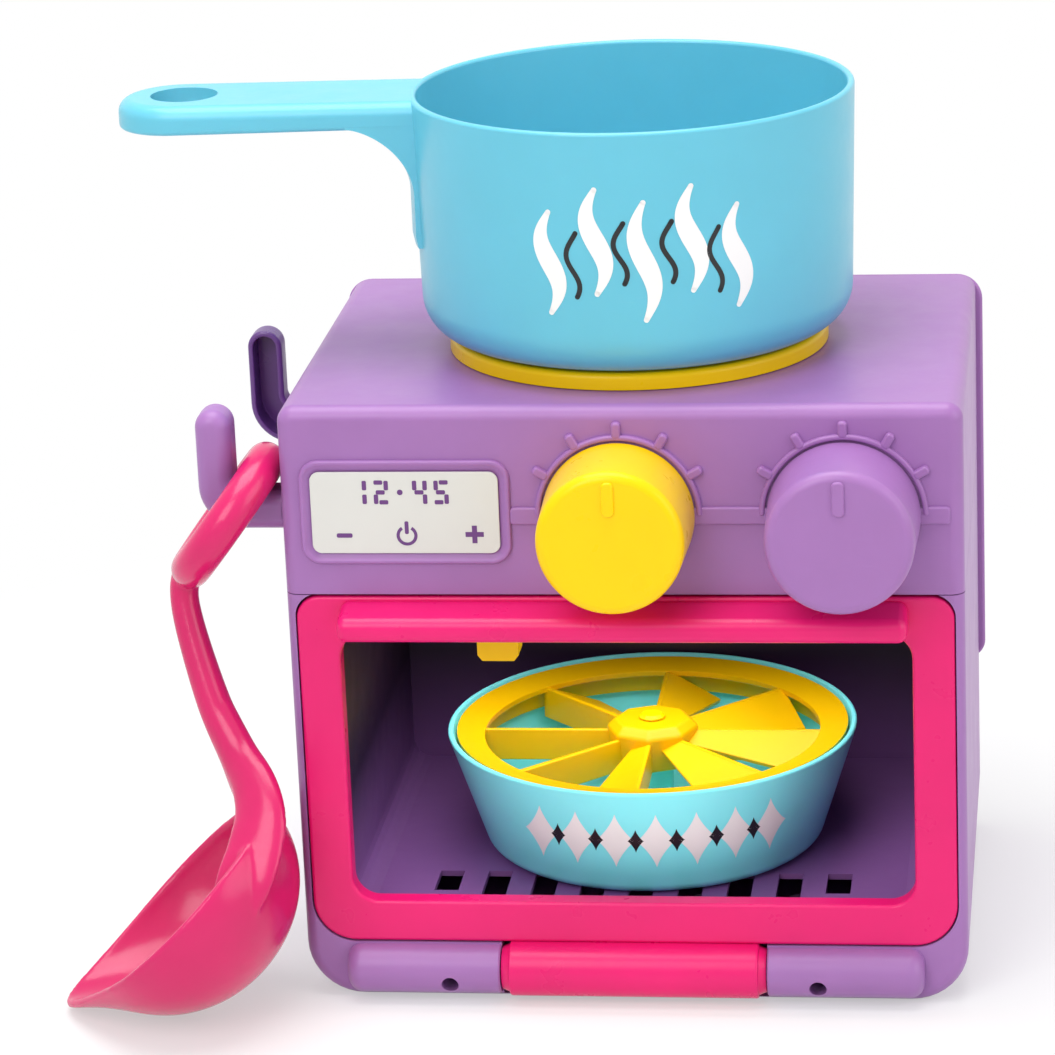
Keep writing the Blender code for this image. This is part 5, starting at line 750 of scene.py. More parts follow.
def display_frame():
    """A raised rim around the display that slopes in to the card."""
    middle = (LABEL_LOW + LABEL_HIGH) / 2
    width = 62.4
    height = 31.7
    corner = 6
    section = [(0, 0.8), (0, -0.55), (0.12, -0.9), (0.4, -1.2), (0.8, -1.32), (1.25, -1.22), (1.6, -0.95),
               (1.95, -0.62), (3.1, -0.2), (3.4, 0.0), (3.45, 0.8)]
    rings = []
    for inset, out in section:
        outline = round_rect((width - 2 * inset) * MM, (height - 2 * inset) * MM, (corner - inset) * MM,
                             steps=12)
        rings.append([(x + middle.x, FRONT + out * MM, z + middle.z) for x, z in outline])
    return loft("display_frame", rings, closed_ends=True)


def dial_arc(x):
    outer = 24.5 * MM
    inner = 22.8 * MM
    outline = arc(0, 0, outer, 0, 180, 64) + arc(0, 0, inner, 180, 0, 64)
    return on_fascia("dial_arc", outline, 2.8 * MM, x, DIAL_Z, out=0.1 * MM, edge=0.75 * MM)


def dial_mark(x, index):
    reach = 25.9 * MM
    outline = round_rect(5.0 * MM, 2.7 * MM, 1.1 * MM, steps=6)
    turn = Matrix.Rotation(math.pi * index / 6, 4, "Z") @ Matrix.Translation((reach, 0, 0))
    mark = plate("dial_mark", outline, 3.0 * MM, placed(x, FRONT - 0.15 * MM, DIAL_Z, FACING_FRONT) @ turn)
    return rounded(mark, 0.8 * MM, 5)


def hinge_channel():
    """The room that the door's barrel and its web turn in."""
    half = BARREL_HALF + 2.45 * MM
    radius = 8.9 * MM
    rise = 4.25 * MM
    return fused(
        bar("channel", radius, on_hinge(-half), on_hinge(half), steps=72),
        block("channel_front", (-half, FRONT - BEYOND, -BEYOND), (half, HINGE_Y, HINGE_Z + rise)),
        block("channel_web", (-half, FRONT - BEYOND, HINGE_Z - rise), (half, FRONT + 7.6 * MM, DOOR_FOOT)))


def boss_wells(side, inner_front):
    """The screw's well and way in a hinge boss, and the bore for the door's pivot."""
    x = side * 55.4 * MM
    z = HINGE_Z - 3 * MM
    well_floor = FRONT + 4 * MM
    return [
        bar("well", 2.6 * MM, (x, FRONT - BEYOND, z), (x, well_floor, z)),
        bar("shank", 1.4 * MM, (x, FRONT, z), (x, inner_front + 5 * MM, z)),
        bar("pivot", 3.4 * MM, on_hinge(side * (BARREL_HALF + 2.3 * MM)), on_hinge(side * 48 * MM)),
    ]


def make_lower_casing():
    inner_front = FRONT + 12.5 * MM
    foot = DOOR_FOOT - 0.3 * MM
    head = SEAM + 0.1 * MM
    recess = round_rect(194.6 * MM, head - foot, 13.3 * MM, 7.2 * MM, 12)
    recess_depth = 7.3 * MM
    mouth = round_rect(173 * MM, 94.5 * MM, 6 * MM)
    mouth_middle = 72.25 * MM
    casing = cabinet_body("cabinet_base", 0, FRONT, REAR, shape().fascia_edge)
    cutters = [
        cabinet_body("cavity", CABINET_WALL, inner_front, REAR + CABINET_WALL, 0),
        block("above_seam", (-FAR, -FAR, SEAM - 0.3 * MM), (FAR, FAR, FAR)),
        plate("recess", recess, recess_depth + BEYOND,
              placed(0, FRONT + (recess_depth - BEYOND) / 2, (foot + head) / 2, FACING_FRONT)),
        plate("mouth", mouth, 4 * BEYOND, placed(0, FRONT, mouth_middle, FACING_FRONT)),
        hinge_channel(),
    ]
    drain_pitch = 30 * MM
    for i in range(4):
        x = (i - 1.5) * drain_pitch
        cutters.append(bar("drain", 4 * MM, (x, 0, -BEYOND), (x, 0, BEYOND)))
    cut(casing, *cutters)
    fused(casing, *[hinge_boss(side) for side in SIDES])
    return cut(casing, *[well for side in SIDES for well in boss_wells(side, inner_front)])


def hinge_boss(side):
    start = BARREL_HALF + 2.6 * MM
    length = 87 * MM - start
    radius = 7.8 * MM
    chamfer = 0.5 * MM
    edge = 4.5 * MM
    profile = ([(0, 0), (radius - chamfer, 0), (radius, chamfer)]
               + arc(radius - edge, length - edge, edge, 0, 90, 8) + [(0, length)])
    return turned("hinge_boss", profile, on_hinge(side * start), turn_about("Y", side * 90), 72)


class KITCHEN_OT_cabinet(bpy.types.Operator):
    """Make the cabinet's upper and lower casings"""
    bl_idname = "toy_kitchen.cabinet"
    bl_label = "Cabinet"

    def execute(self, context):
        dress(make_upper_casing(), purple(), "cabinet", "purple_plastic", "upper_casing", smooth=30)
        dress(make_lower_casing(), purple(), "cabinet", "purple_plastic", "lower_casing", smooth=30)
        return {"FINISHED"}


# Display

SEGMENTS = {"1": "bc", "2": "abged", "4": "fgbc", "5": "afgcd"}


def segment_bar(letter, letters, width, height, stroke):
    """One bar of a seven-bar digit, its corners cut, in the digit's own plane."""
    half = height / 2
    overhang = stroke * 0.4
    gap = stroke * 0.5
    joined = stroke * 0.75
    if letter in "adg":
        z = {"a": height, "g": half, "d": 0}[letter]
        left, right = {"a": ("f", "b"), "d": ("e", "c"), "g": ("", "")}[letter]
        start = Vector((joined if left and left in letters else -overhang, z))
        end = Vector((width - joined if right and right in letters else width + overhang, z))
        if letter == "g":
            start.x = 0
            end.x = width - stroke * 0.3
    else:
        x = width if letter in "bc" else 0
        upper = letter in "bf"
        start = Vector((x, half + gap if upper else -overhang))
        end = Vector((x, height + overhang if upper else half - gap))
    along = (end - start).normalized()
    side = Vector((-along.y, along.x)) * stroke / 2
    nip = along * stroke * 0.2
    blunt = side * 0.6
    points = [start + blunt, start + nip + side, end - nip + side, end + blunt,
              end - blunt, end - nip - side, start + nip - side, start - blunt]
    return [(p.x, p.y) for p in points]


def label_piece(name, outline):
    """A thin print on the display's card, from an outline in metres with the card's corner at zero."""
    lift = shape().print_gap
    return plate(name, outline, lift, placed(LABEL_LOW.x, LABEL_LOW.y - lift / 2, LABEL_LOW.z, FACING_FRONT))


def make_display_prints():
    """A clock of four digits over a minus, a power sign and a plus."""
    size = LABEL_HIGH - LABEL_LOW
    digit_width = size.x * 0.055
    digit_height = size.z * 0.243
    foot = size.z * 0.632
    stroke = 1.3 * MM
    shapes = []
    for text, at in (("1", 0.236), ("2", 0.352), ("4", 0.558), ("5", 0.672)):
        for letter in SEGMENTS[text]:
            points = segment_bar(letter, SEGMENTS[text], digit_width, digit_height, stroke)
            shapes.append([(x + size.x * at, z + foot) for x, z in points])
    dot = 0.85 * MM
    shapes.append(arc(size.x * 0.48, foot + digit_height * 0.5, dot, 0, 345, 23))
    signs_z = size.z * 0.222
    minus_x, power_x, plus_x = (size.x * share for share in (0.174, 0.507, 0.867))
    shapes.append(round_rect_at(minus_x, signs_z, 4.7 * MM, 1.35 * MM))
    shapes.append(plus_outline(plus_x, signs_z + 0.3 * MM, 2.7 * MM, 0.75 * MM))
    ring = 3.1 * MM
    line = 0.95 * MM
    shapes.append(arc(power_x, signs_z, ring, 122, 418, 48)
                  + arc(power_x, signs_z, ring - line, 418, 122, 48))
    shapes.append(round_rect_at(power_x, signs_z + 2.4 * MM, 1.15 * MM, 3.9 * MM))
    return together(*[label_piece("display_prints", outline) for outline in shapes])


def plus_outline(x, z, reach, half):
    corner = [(half, half), (half, reach), (-half, reach), (-half, half), (-reach, half), (-reach, -half),
              (-half, -half), (-half, -reach), (half, -reach), (half, -half), (reach, -half), (reach, half)]
    return [(x + a, z + b) for a, b in corner]


def round_rect_at(x, z, width, height):
    radius = min(width, height) * 0.35
    return [(px + x, pz + z) for px, pz in round_rect(width, height, radius, steps=4)]


def make_display_card():
    size = LABEL_HIGH - LABEL_LOW
    middle = (LABEL_LOW + LABEL_HIGH) / 2
    obj = plate("display_card", round_rect(size.x, size.z, 2.8 * MM, steps=10), size.y,
                placed(middle.x, middle.y, middle.z, FACING_FRONT))
    return rounded(obj, 0.2 * MM, 3)


class KITCHEN_OT_display(bpy.types.Operator):
    """Make the display's card and its printed clock and signs"""
    bl_idname = "toy_kitchen.display"
    bl_label = "Display"

    def execute(self, context):
        dress(make_display_card(), card(), "cabinet", "label_card", "display_label")
        dress(make_display_prints(), display_ink(), "cabinet", "label_card")
        return {"FINISHED"}


# Door

def make_door():
    middle = (DOOR_FOOT + DOOR_HEAD) / 2
    depth = 7 * MM
    outline = round_rect(194 * MM, DOOR_HEAD - DOOR_FOOT, 13 * MM, 6.8 * MM, 12)
    window = round_rect(169 * MM, 85.2 * MM, 7.5 * MM, steps=10)
    window_middle = 73.9 * MM
    door = plate("door_frame", outline, depth, placed(0, FRONT + depth / 2, middle, FACING_FRONT),
                 [[(x, z + window_middle - middle) for x, z in window]])
    rounded(door, 1.3 * MM, 4)
    half = BARREL_HALF - 1.6 * MM
    web = block("door_web", (-half, FRONT + 1.56 * MM, HINGE_Z),
                (half, FRONT + 5.4 * MM, DOOR_FOOT + 2.4 * MM))
    pieces = [door_handle(), door_barrel(), rounded(web, 0.5 * MM, 2)]
    for side in SIDES:
        root = on_hinge(side * (BARREL_HALF - 1 * MM))
        pieces.append(bar("pivot", 3 * MM, root, on_hinge(side * 47.6 * MM)))
        pieces.append(bar("cone", 7.9 * MM, root, on_hinge(side * (BARREL_HALF + 2.3 * MM)), 6.5 * MM, 72))
    return together(door, *pieces)


def door_handle():
    back = FRONT + 1 * MM
    front = FRONT - 11.5 * MM
    foot = 117.4 * MM
    outline = [(front, foot), (back, foot), (back, foot + 10.3 * MM), (front, foot + 7 * MM)]
    handle = plate("door_handle", outline, 167 * MM, placed(0, 0, 0, FACING_SIDE))
    return rounded(handle, 2.8 * MM, 6, 30)


def door_barrel():
    half = BARREL_HALF
    profile = [(0, -half)] + rounded_side(8.5 * MM, -half, half, 0.8 * MM, 4) + [(0, half)]
    return turned("door_barrel", profile, on_hinge(0), turn_about("Y", 90), 96)


class KITCHEN_OT_door(bpy.types.Operator):
    """Make the oven door with its handle and hinge barrel"""
    bl_idname = "toy_kitchen.door"
    bl_label = "Oven door"

    def execute(self, context):
        dress(make_door(), pink(), "door", "pink_plastic", "oven_door")
        return {"FINISHED"}


# Dials

def make_dial(name, x):
    """A dial that narrows to its face, hollow round its bore, with a raised bar on the face."""
    gap = 0.8 * MM
    length = 27.5 * MM
    face = 21.5 * MM
    base = 22.5 * MM
    bore_boss = 6.2 * MM
    edge = 3 * MM
    wall = 2.2 * MM
    profile = ([(0, length - 0.15 * MM), (face * 0.5, length - 0.08 * MM)]
               + arc(face - edge, length - edge, edge, 90, 2, 10)
               + [(base - 0.25 * MM, 0.4 * MM), (base - 0.6 * MM, 0), (base - wall, 0),
                  (face - wall, length - wall), (bore_boss, length - wall), (bore_boss, 0), (0, 0)])
    dial = turned(name, profile, (x, FRONT - gap, DIAL_Z), FACING_FRONT)
    mark = on_fascia(name + "_mark", round_rect(3.7 * MM, 10.4 * MM, 1.5 * MM, steps=8), 2.2 * MM,
                     x, DIAL_Z + 13.6 * MM, out=gap + length - 0.25 * MM, edge=0.7 * MM)
    return together(dial, mark)


class KITCHEN_OT_dials(bpy.types.Operator):
    """Make the two dials"""
    bl_idname = "toy_kitchen.dials"
    bl_label = "Dials"

    def execute(self, context):
        dress(make_dial("bubble_dial", 0), yellow(), "bubble_dial", "yellow_plastic", "bubble_knob")
        dress(make_dial("click_dial", CLICK_X), purple(), "click_dial", "purple_plastic", "click_knob")
        return {"FINISHED"}


# Hob

def make_hob_ring():
    """The ring on the cabinet's top, with a skirt through the hole and a ledge for the plate."""
    outer = 57.5 * MM
    inner = 47.5 * MM
    ledge = 44.5 * MM
    skirt = 49.7 * MM
    skirt_inner = 47.9 * MM
    top = RING_HIGH.z
    foot = TOP + 0.3 * MM
    ledge_low = 186.1 * MM
    ledge_high = 187.9 * MM
    chamfer = 0.4 * MM
    edge = 1.8 * MM
    profile = ([(inner, top - chamfer), (inner + chamfer, top)]
               + arc(outer - edge, top - edge, edge, 90, 0, 8)
               + [(outer, foot), (skirt, foot), (skirt, RING_LOW.z), (skirt_inner, RING_LOW.z),
                  (skirt_inner, ledge_low), (ledge, ledge_low), (ledge, ledge_high), (inner, ledge_high)])
    return turned("hob_ring_piece", profile, closed=True)


def make_hob_plate():
    """A thin disc with three rings of drip holes and a larger one in the middle."""
    radius = 47.2 * MM
    thick = 1.8 * MM
    foot = 188.2 * MM
    profile = [(0, 0)] + rounded_side(radius, 0, thick, 0.35 * MM, 3) + [(0, thick)]
    disc = turned("hob_plate_piece", profile, (0, 0, foot))

    def hole(name, size, x, y, steps):
        return bar(name, size, (x, y, foot - thick), (x, y, foot + 2 * thick), steps=steps)

    holes = []
    for share, count in ((0.27, 6), (0.53, 8), (0.79, 10)):
        for i in range(count):
            turn = 2 * math.pi * (i + 0.5) / count
            holes.append(hole("drip_hole", 2.4 * MM, share * radius * math.cos(turn),
                              share * radius * math.sin(turn), 32))
    holes.append(hole("middle_hole", 7.5 * MM, 0, 0, 64))
    return rounded(cut(disc, *holes), 0.3 * MM, 3, 60)


class KITCHEN_OT_hob(bpy.types.Operator):
    """Make the hob's ring and its perforated plate"""
    bl_idname = "toy_kitchen.hob"
    bl_label = "Hob"

    def execute(self, context):
        dress(make_hob_ring(), yellow(), "cabinet", "yellow_plastic", "hob_ring")
        dress(make_hob_plate(), yellow(), "cabinet", "yellow_plastic", "hob_plate")
        return {"FINISHED"}


# Pan

PAN_WALL = 2.2 * MM
PAN_BASE_RADIUS = 65.2 * MM
PAN_RIM_RADIUS = 66.7 * MM
PAN_CORNER = 12 * MM
PAN_HEIGHT = 73.5 * MM
LIP = PAN_WALL / 2

# The pan's handle, from the pan's axis outwards along the handle
HANDLE_TURN = Matrix.Rotation(math.pi + math.radians(2.5), 4, "Z")
HANDLE_HOLE = 135 * MM
HANDLE_MIDDLE = 136 * MM
HANDLE_HALF = 19 * MM
HANDLE_START = 40 * MM
WEB_REACH = 86.5 * MM
HANDLE_THIN = 7.8 * MM
HANDLE_THICK = 8.9 * MM


def make_pan():
    """A deep pan with a rounded rim, its handle let into the wall."""
    inner = PAN_CORNER - PAN_WALL
    profile = ([(0, PAN_WALL)] + arc(PAN_BASE_RADIUS - PAN_CORNER, PAN_CORNER, inner, -90, 0, 10)
               + arc(PAN_RIM_RADIUS - LIP, PAN_HEIGHT - LIP, LIP, 180, 0, 8)
               + arc(PAN_BASE_RADIUS - PAN_CORNER, PAN_CORNER, PAN_CORNER, 0, -90, 12) + [(0, 0)])
    return together(turned("pan_body", profile, (0, 0, PAN_LOW.z)), pan_handle())


def handle_plan(inset, start):
    """The handle's outline from above, drawn in by inset: straight sides and a round end."""
    half = HANDLE_HALF - inset
    return [(start, half)] + arc(HANDLE_MIDDLE, 0, half, 90, -90, 48) + [(start, -half)]


def handle_bar():
    """The handle's bar, a little thicker at its end, its upper edges softer than its lower ones."""
    head = PAN_HIGH.z
    rings = []
    for edge, below in ((1.3 * MM, True), (4.2 * MM, False)):
        rows = []
        for drawn, rise in soft_edge(edge, 8):
            row = []
            for x, y in handle_plan(drawn, HANDLE_START):
                share = max(0, x - WEB_REACH) / (HANDLE_MIDDLE + HANDLE_HALF - WEB_REACH)
                depth = HANDLE_THIN + (HANDLE_THICK - HANDLE_THIN) * share
                row.append(HANDLE_TURN @ Vector((x, y, head - depth + rise if below else head - rise)))
            rows.append(row)
        rings += rows if below else reversed(rows)
    return loft("pan_handle", rings)


def handle_web():
    """The web that flares from a strip on the pan's wall out under the bar."""
    head = PAN_HIGH.z
    strip = 67.3 * MM
    foot = head - 28.5 * MM
    strip_foot = foot - 16 * MM
    curve = [(HANDLE_START, strip_foot), (strip - 0.6 * MM, strip_foot), (strip, foot - 13 * MM)]
    for i in range(25):
        share = math.radians(90 * i / 24)
        curve.append((WEB_REACH - (WEB_REACH - strip) * math.cos(share) ** 1.25,
                      foot + (head - HANDLE_THIN - foot) * math.sin(share)))
    within = head - 4.5 * MM
    curve += [(WEB_REACH, within), (HANDLE_START, within)]
    web = turned("pan_web", [(0, strip_foot)] + curve + [(0, within)], steps=160)
    plan = plate("web_plan", handle_plan(0.05 * MM, HANDLE_START), 0.2, placed(0, 0, head) @ HANDLE_TURN)
    return rounded(boolean(web, [plan], "INTERSECT"), 1.2 * MM, 4, 50)


def pan_handle():
    """A rounded bar with a hanging hole, run into a flared web on the pan's wall, hollow underneath."""
    head = PAN_HIGH.z
    handle = fused(handle_bar(), handle_web())

    def round_hole(radius):
        return arc(HANDLE_HOLE, 0, radius, 0, 360 - 360 / 64, 63)

    cut(handle, plate("eye", round_hole(10.2 * MM), 0.04, placed(0, 0, head) @ HANDLE_TURN))
    deep = 50 * MM
    hollow_start = 69.2 * MM
    hollow = plate("hollow", handle_plan(PAN_WALL, hollow_start), deep,
                   placed(0, 0, head - PAN_WALL - deep / 2) @ HANDLE_TURN, [round_hole(12.4 * MM)])
    cut(handle, hollow, pan_wall_core())
    return rounded(handle, 0.7 * MM, 3, 62)


def pan_wall_core():
    """What the pan's wall leaves inside its middle line, to end the handle in the wall."""
    low = PAN_LOW.z
    high = PAN_HIGH.z
    profile = [(0, low - BEYOND), (63.9 * MM, low - BEYOND), (64.1 * MM, low), (65.6 * MM, high),
               (65.8 * MM, high + BEYOND), (0, high + BEYOND)]
    return turned("pan_core", profile)


def on_wall(base, rim, side_low, side_high, foot, facing):
    """Maps print places to a round wall whose radius grows from base to rim between two heights above its
    foot: from an arc length off the middle, which faces this many degrees round, and a height, to a point."""
    def place(s, t, proud):
        radius = base + (rim - base) * (t - side_low) / (side_high - side_low)
        angle = math.radians(facing) + s / radius
        return Vector((math.cos(angle) * (radius + proud), math.sin(angle) * (radius + proud), foot + t))
    return place


def star_print(name, place, centre, radius_of, proud, steps=72, rows=6):
    """A filled print whose edge is given by its distance from a middle point at each angle."""
    s, t = centre
    rings = [[place(s, t, proud)]]
    for row in range(1, rows + 1):
        ring = []
        for i in range(steps):
            angle = 2 * math.pi * i / steps
            reach = radius_of(angle) * row / rows
            ring.append(place(s + reach * math.cos(angle), t + reach * math.sin(angle), proud))
        rings.append(ring)
    return loft(name, rings, caps=(False, False))


def line_print(name, place, points, width_at, proud):
    """A printed line with round ends; width_at gives its width from the share along the line."""
    last = len(points) - 1
    points = [Vector(point) for point in points]
    widths = [width_at(i / last) for i in range(last + 1)]
    rings = []
    for i, centre in enumerate(points):
        ahead = ahead_at(points, i)
        side = Vector((-ahead.y, ahead.x)) * widths[i] / 2
        rings.append([place(*(centre + side * k), proud) for k in (-1, -0.67, -0.33, 0, 0.33, 0.67, 1)])
    strip = loft(name, rings, round_way=False, caps=(False, False))
    ends = [star_print(name + "_end", place, points[k], lambda a, k=k: widths[k] / 2, proud, 24, 2)
            for k in (0, -1)]
    return together(strip, *ends)


def steam_line(s, low, high, sway, phase, steps=48):
    """Points of a rising wisp that sways to both sides."""
    return [((s + sway * math.sin(phase + 2 * math.pi * i / steps)) * MM,
             (low + (high - low) * i / steps) * MM) for i in range(steps + 1)]


def make_pan_prints():
    """Rising steam: white wisps with thin black ones beside them."""
    gap = shape().print_gap
    place = on_wall(PAN_BASE_RADIUS, PAN_RIM_RADIUS, PAN_CORNER, PAN_HEIGHT - LIP, PAN_LOW.z, facing=-82)

    def swelling(share):
        return (1.6 + 4.4 * math.sin(math.pi * share) ** 1.2) * MM

    white = [line_print("pan_print_white", place, steam_line(s, low, high, 2.6, 0.0), swelling, gap)
             for s, low, high in ((-28, 20, 50), (-14, 26, 57), (0, 18, 53), (14, 26, 57), (28, 20, 50))]
    black = [line_print("pan_print_black", place, steam_line(s, low, high, 1.9, 0.6),
                        lambda share: 1.5 * MM, gap)
             for s, low, high in ((-21, 25, 44), (-7, 29, 47), (7, 29, 47), (21, 25, 44))]
    return together(*white), together(*black)


class KITCHEN_OT_pan(bpy.types.Operator):
    """Make the saucepan with its print"""
    bl_idname = "toy_kitchen.pan"
    bl_label = "Pan"

    def execute(self, context):
        dress(make_pan(), blue(), "pan", "light_blue_plastic", "saucepan")
        white, black = make_pan_prints()
        dress(white, print_white(), "pan", "light_blue_plastic")
        dress(black, print_black(), "pan", "light_blue_plastic")
        return {"FINISHED"}


# Cake tin and water wheel

TIN_WALL = 1.8 * MM
TIN_CORNER = 5 * MM
TIN_BASE_RADIUS = 53.5 * MM
TIN_RIM_RADIUS = 64 * MM
TIN_HEIGHT = 37.2 * MM


def make_tin():
    """A shallow tin that widens upwards, with a bored boss in the middle for the wheel's axle."""
    lip = TIN_WALL / 2
    boss = 6.2 * MM
    boss_top = 48.9 * MM - TIN_BASE
    bore = 3.1 * MM
    bore_floor = 2.8 * MM
    corner_at = TIN_BASE_RADIUS - TIN_CORNER
    profile = ([(0, bore_floor), (bore, bore_floor), (bore, boss_top), (boss, boss_top), (boss, TIN_WALL)]
               + arc(corner_at, TIN_CORNER, TIN_CORNER - TIN_WALL, -90, -16, 8)
               + arc(TIN_RIM_RADIUS - lip, TIN_HEIGHT - lip, lip, 164, 0, 8)
               + arc(corner_at, TIN_CORNER, TIN_CORNER, -16, -90, 10) + [(0, 0)])
    return turned("tin_body", profile, (0, 0, TIN_BASE))


def diamond_print(name, place, centre, half_width, half_height, proud):
    """A diamond with hollow sides, its edge given by the distance from its middle."""
    hollow = 0.8

    def edge(angle):
        across = (abs(math.cos(angle)) / half_width) ** hollow
        upward = (abs(math.sin(angle)) / half_height) ** hollow
        return 1 / (across + upward) ** (1 / hollow)
    return star_print(name, place, centre, edge, proud, 96)


def make_tin_prints():
    """A band of white diamonds with small black ones between them."""
    gap = shape().print_gap
    side_low = 3.62 * MM
    side_high = 36.3 * MM
    radius_low = 53.31 * MM
    place = on_wall(radius_low, TIN_RIM_RADIUS, side_low, side_high, TIN_BASE, facing=-84)
    pitch = 12.4 * MM
    middle = 20 * MM
    white = [diamond_print("tin_print_white", place, ((i - 3) * pitch, middle), 6.2 * MM, 9.8 * MM, gap)
             for i in range(7)]
    black = [diamond_print("tin_print_black", place, ((i - 2.5) * pitch, middle), 2.5 * MM, 4.2 * MM, gap)
             for i in range(6)]
    return together(*white), together(*black)


def tin_bore(height):
    """The tin's inner radius at a height above its base."""
    share = (height - TIN_CORNER) / (TIN_HEIGHT - TIN_CORNER)
    return TIN_BASE_RADIUS + (TIN_RIM_RADIUS - TIN_BASE_RADIUS) * share - TIN_WALL


WHEEL_TOP = 62 * MM
VANES = 8


def make_wheel():
    """A sloping rim on an eight-sided hub, joined by ribs with a pitched vane beside each."""
    top = WHEEL_TOP
    gap = 0.7 * MM
    drop = 0.6 * MM
    depth = 10 * MM
    wall = 1.8 * MM
    slope = 2.2 * MM
    nip = 0.3 * MM
    outer = tin_bore(TIN_HEIGHT - drop) - gap
    outer_low = tin_bore(TIN_HEIGHT - drop - depth) - gap
    inner = outer - 8.8 * MM
    under = top - slope - wall
    rim = turned("wheel_rim", [
        (inner + nip, top - slope + nip), (outer - 0.6 * MM, top - 0.1 * MM),
        (outer - 0.15 * MM, top - 0.15 * MM), (outer, top - 0.7 * MM),
        (outer_low, top - depth), (outer_low - wall, top - depth),
        (outer_low - wall, under), (inner + nip, under), (inner, under + nip), (inner, top - slope),
    ], closed=True)
    hub_foot = top - 12.5 * MM
    hub_top = top + 1.4 * MM
    hub = turned("wheel_hub", [(0, hub_foot), (13.05 * MM, hub_foot), (14.5 * MM, top - 1.1 * MM),
                               (11.6 * MM, hub_top), (0, hub_top)], steps=VANES)
    parts = [rounded(hub, 0.8 * MM, 4, 25)]
    end = inner + wall
    head = top - slope - nip
    half = 0.8 * MM
    for i in range(VANES):
        angle = 2 * math.pi / VANES * i
        rib = block("wheel_rib", (7.25 * MM, -half, top - 12.7 * MM), (end, half, head))
        rib.matrix_world = Matrix.Rotation(angle, 4, "Z")
        parts.append(rounded(rib, 0.4 * MM, 3))
        parts.append(wheel_vane(angle, end, head))
    return together(rim, *parts)


def wheel_vane(angle, end, head):
    """A flat vane from the hub to the rim, pitched down from its rib."""
    wall = 1.6 * MM
    pitch = math.radians(24)
    span = 2 * math.pi / VANES
    share = 0.70 / math.cos(pitch)
    start = 14.5 * 0.75 * MM
    far = span * 0.6
    outline = [(start, 0), (end, 0), (end * math.cos(far), -end * math.sin(far) * share),
               (start, -start * math.sin(span) * share)]
    vane = plate("wheel_vane", outline[::-1], wall)
    rounded(vane, 0.35 * MM, 3)
    vane.matrix_world = (Matrix.Rotation(angle, 4, "Z") @ Matrix.Translation((0, 0, head - wall / 2))
                         @ Matrix.Rotation(pitch, 4, "X"))
    return vane


class KITCHEN_OT_tin(bpy.types.Operator):
    """Make the cake tin with its print and the water wheel in it"""
    bl_idname = "toy_kitchen.tin"
    bl_label = "Cake tin and water wheel"

    def execute(self, context):
        dress(make_tin(), lit_tin_blue(), "tin", "light_blue_plastic", "cake_tin")
        white, black = make_tin_prints()
        dress(white, print_white(), "tin", "light_blue_plastic")
        dress(black, print_black(), "tin", "light_blue_plastic")
        dress(make_wheel(), shaded_wheel_yellow(), "water_wheel", "yellow_plastic", "spinner")
        return {"FINISHED"}


# Ladle and hooks

# The upper end of the ladle's ring, from which the places of the rest of it are counted
LADLE_AT = Vector((-106.2, -61.5, 165.5)) * MM


def ladle_ring(slant_angle, slant, radius):
    """The slanted ring that hangs on the hook."""
    stock = 5.9 * MM
    centre = LADLE_AT + slant * radius
    tilt = Matrix.Rotation(-slant_angle, 4, "Y")
    rings = []
    for c, s in circle(72):
        out = Vector((c, s, 0))
        rings.append([centre + tilt @ (out * (radius + stock * across) + Vector((0, 0, stock * rise)))
                      for across, rise in circle(28)])
    return loft("ladle_piece", rings, closed_ends=True)


def make_ladle():
    """A slanted ring, a curved shank and a deep bowl with a lip, run together in soft joins."""
    slant_angle = math.radians(53)
    slant = Vector((-math.cos(slant_angle), 0, -math.sin(slant_angle)))
    ring_radius = 19.5 * MM
    ring = ladle_ring(slant_angle, slant, ring_radius)
    # The shank's places from LADLE_AT and its radius there, in millimetres
    course = [(-26.4, -0.8, -38.0, 4.4), (-24.6, -4.2, -49.5, 4.6), (-17.4, -11.5, -70.6, 5.2),
              (-10.3, -16.5, -85.4, 5.6), (-3.6, -23.0, -96.2, 6.4), (1.6, -24.5, -103.8, 4.2)]
    top_radius = 5.2
    points = [slant * (2 * ring_radius)] + [Vector(p[:3]) * MM for p in course]
    route = [LADLE_AT + p for p in smooth_route(points, 12)]
    radii = [p.x * MM for p in smooth_route([(top_radius, 0, 0)] + [(p[3], 0, 0) for p in course], 12)]
    shank = tube("ladle_handle", route, radii, 32)
    ladle = fused(ring, shank, ladle_strap(), ladle_bowl())
    remesh = ladle.modifiers.new("even_mesh", "REMESH")
    remesh.mode = "VOXEL"
    remesh.voxel_size = 0.6 * MM
    smooth = ladle.modifiers.new("soft_joins", "SMOOTH")
    smooth.factor = 0.5
    smooth.iterations = 22
    return baked(ladle)


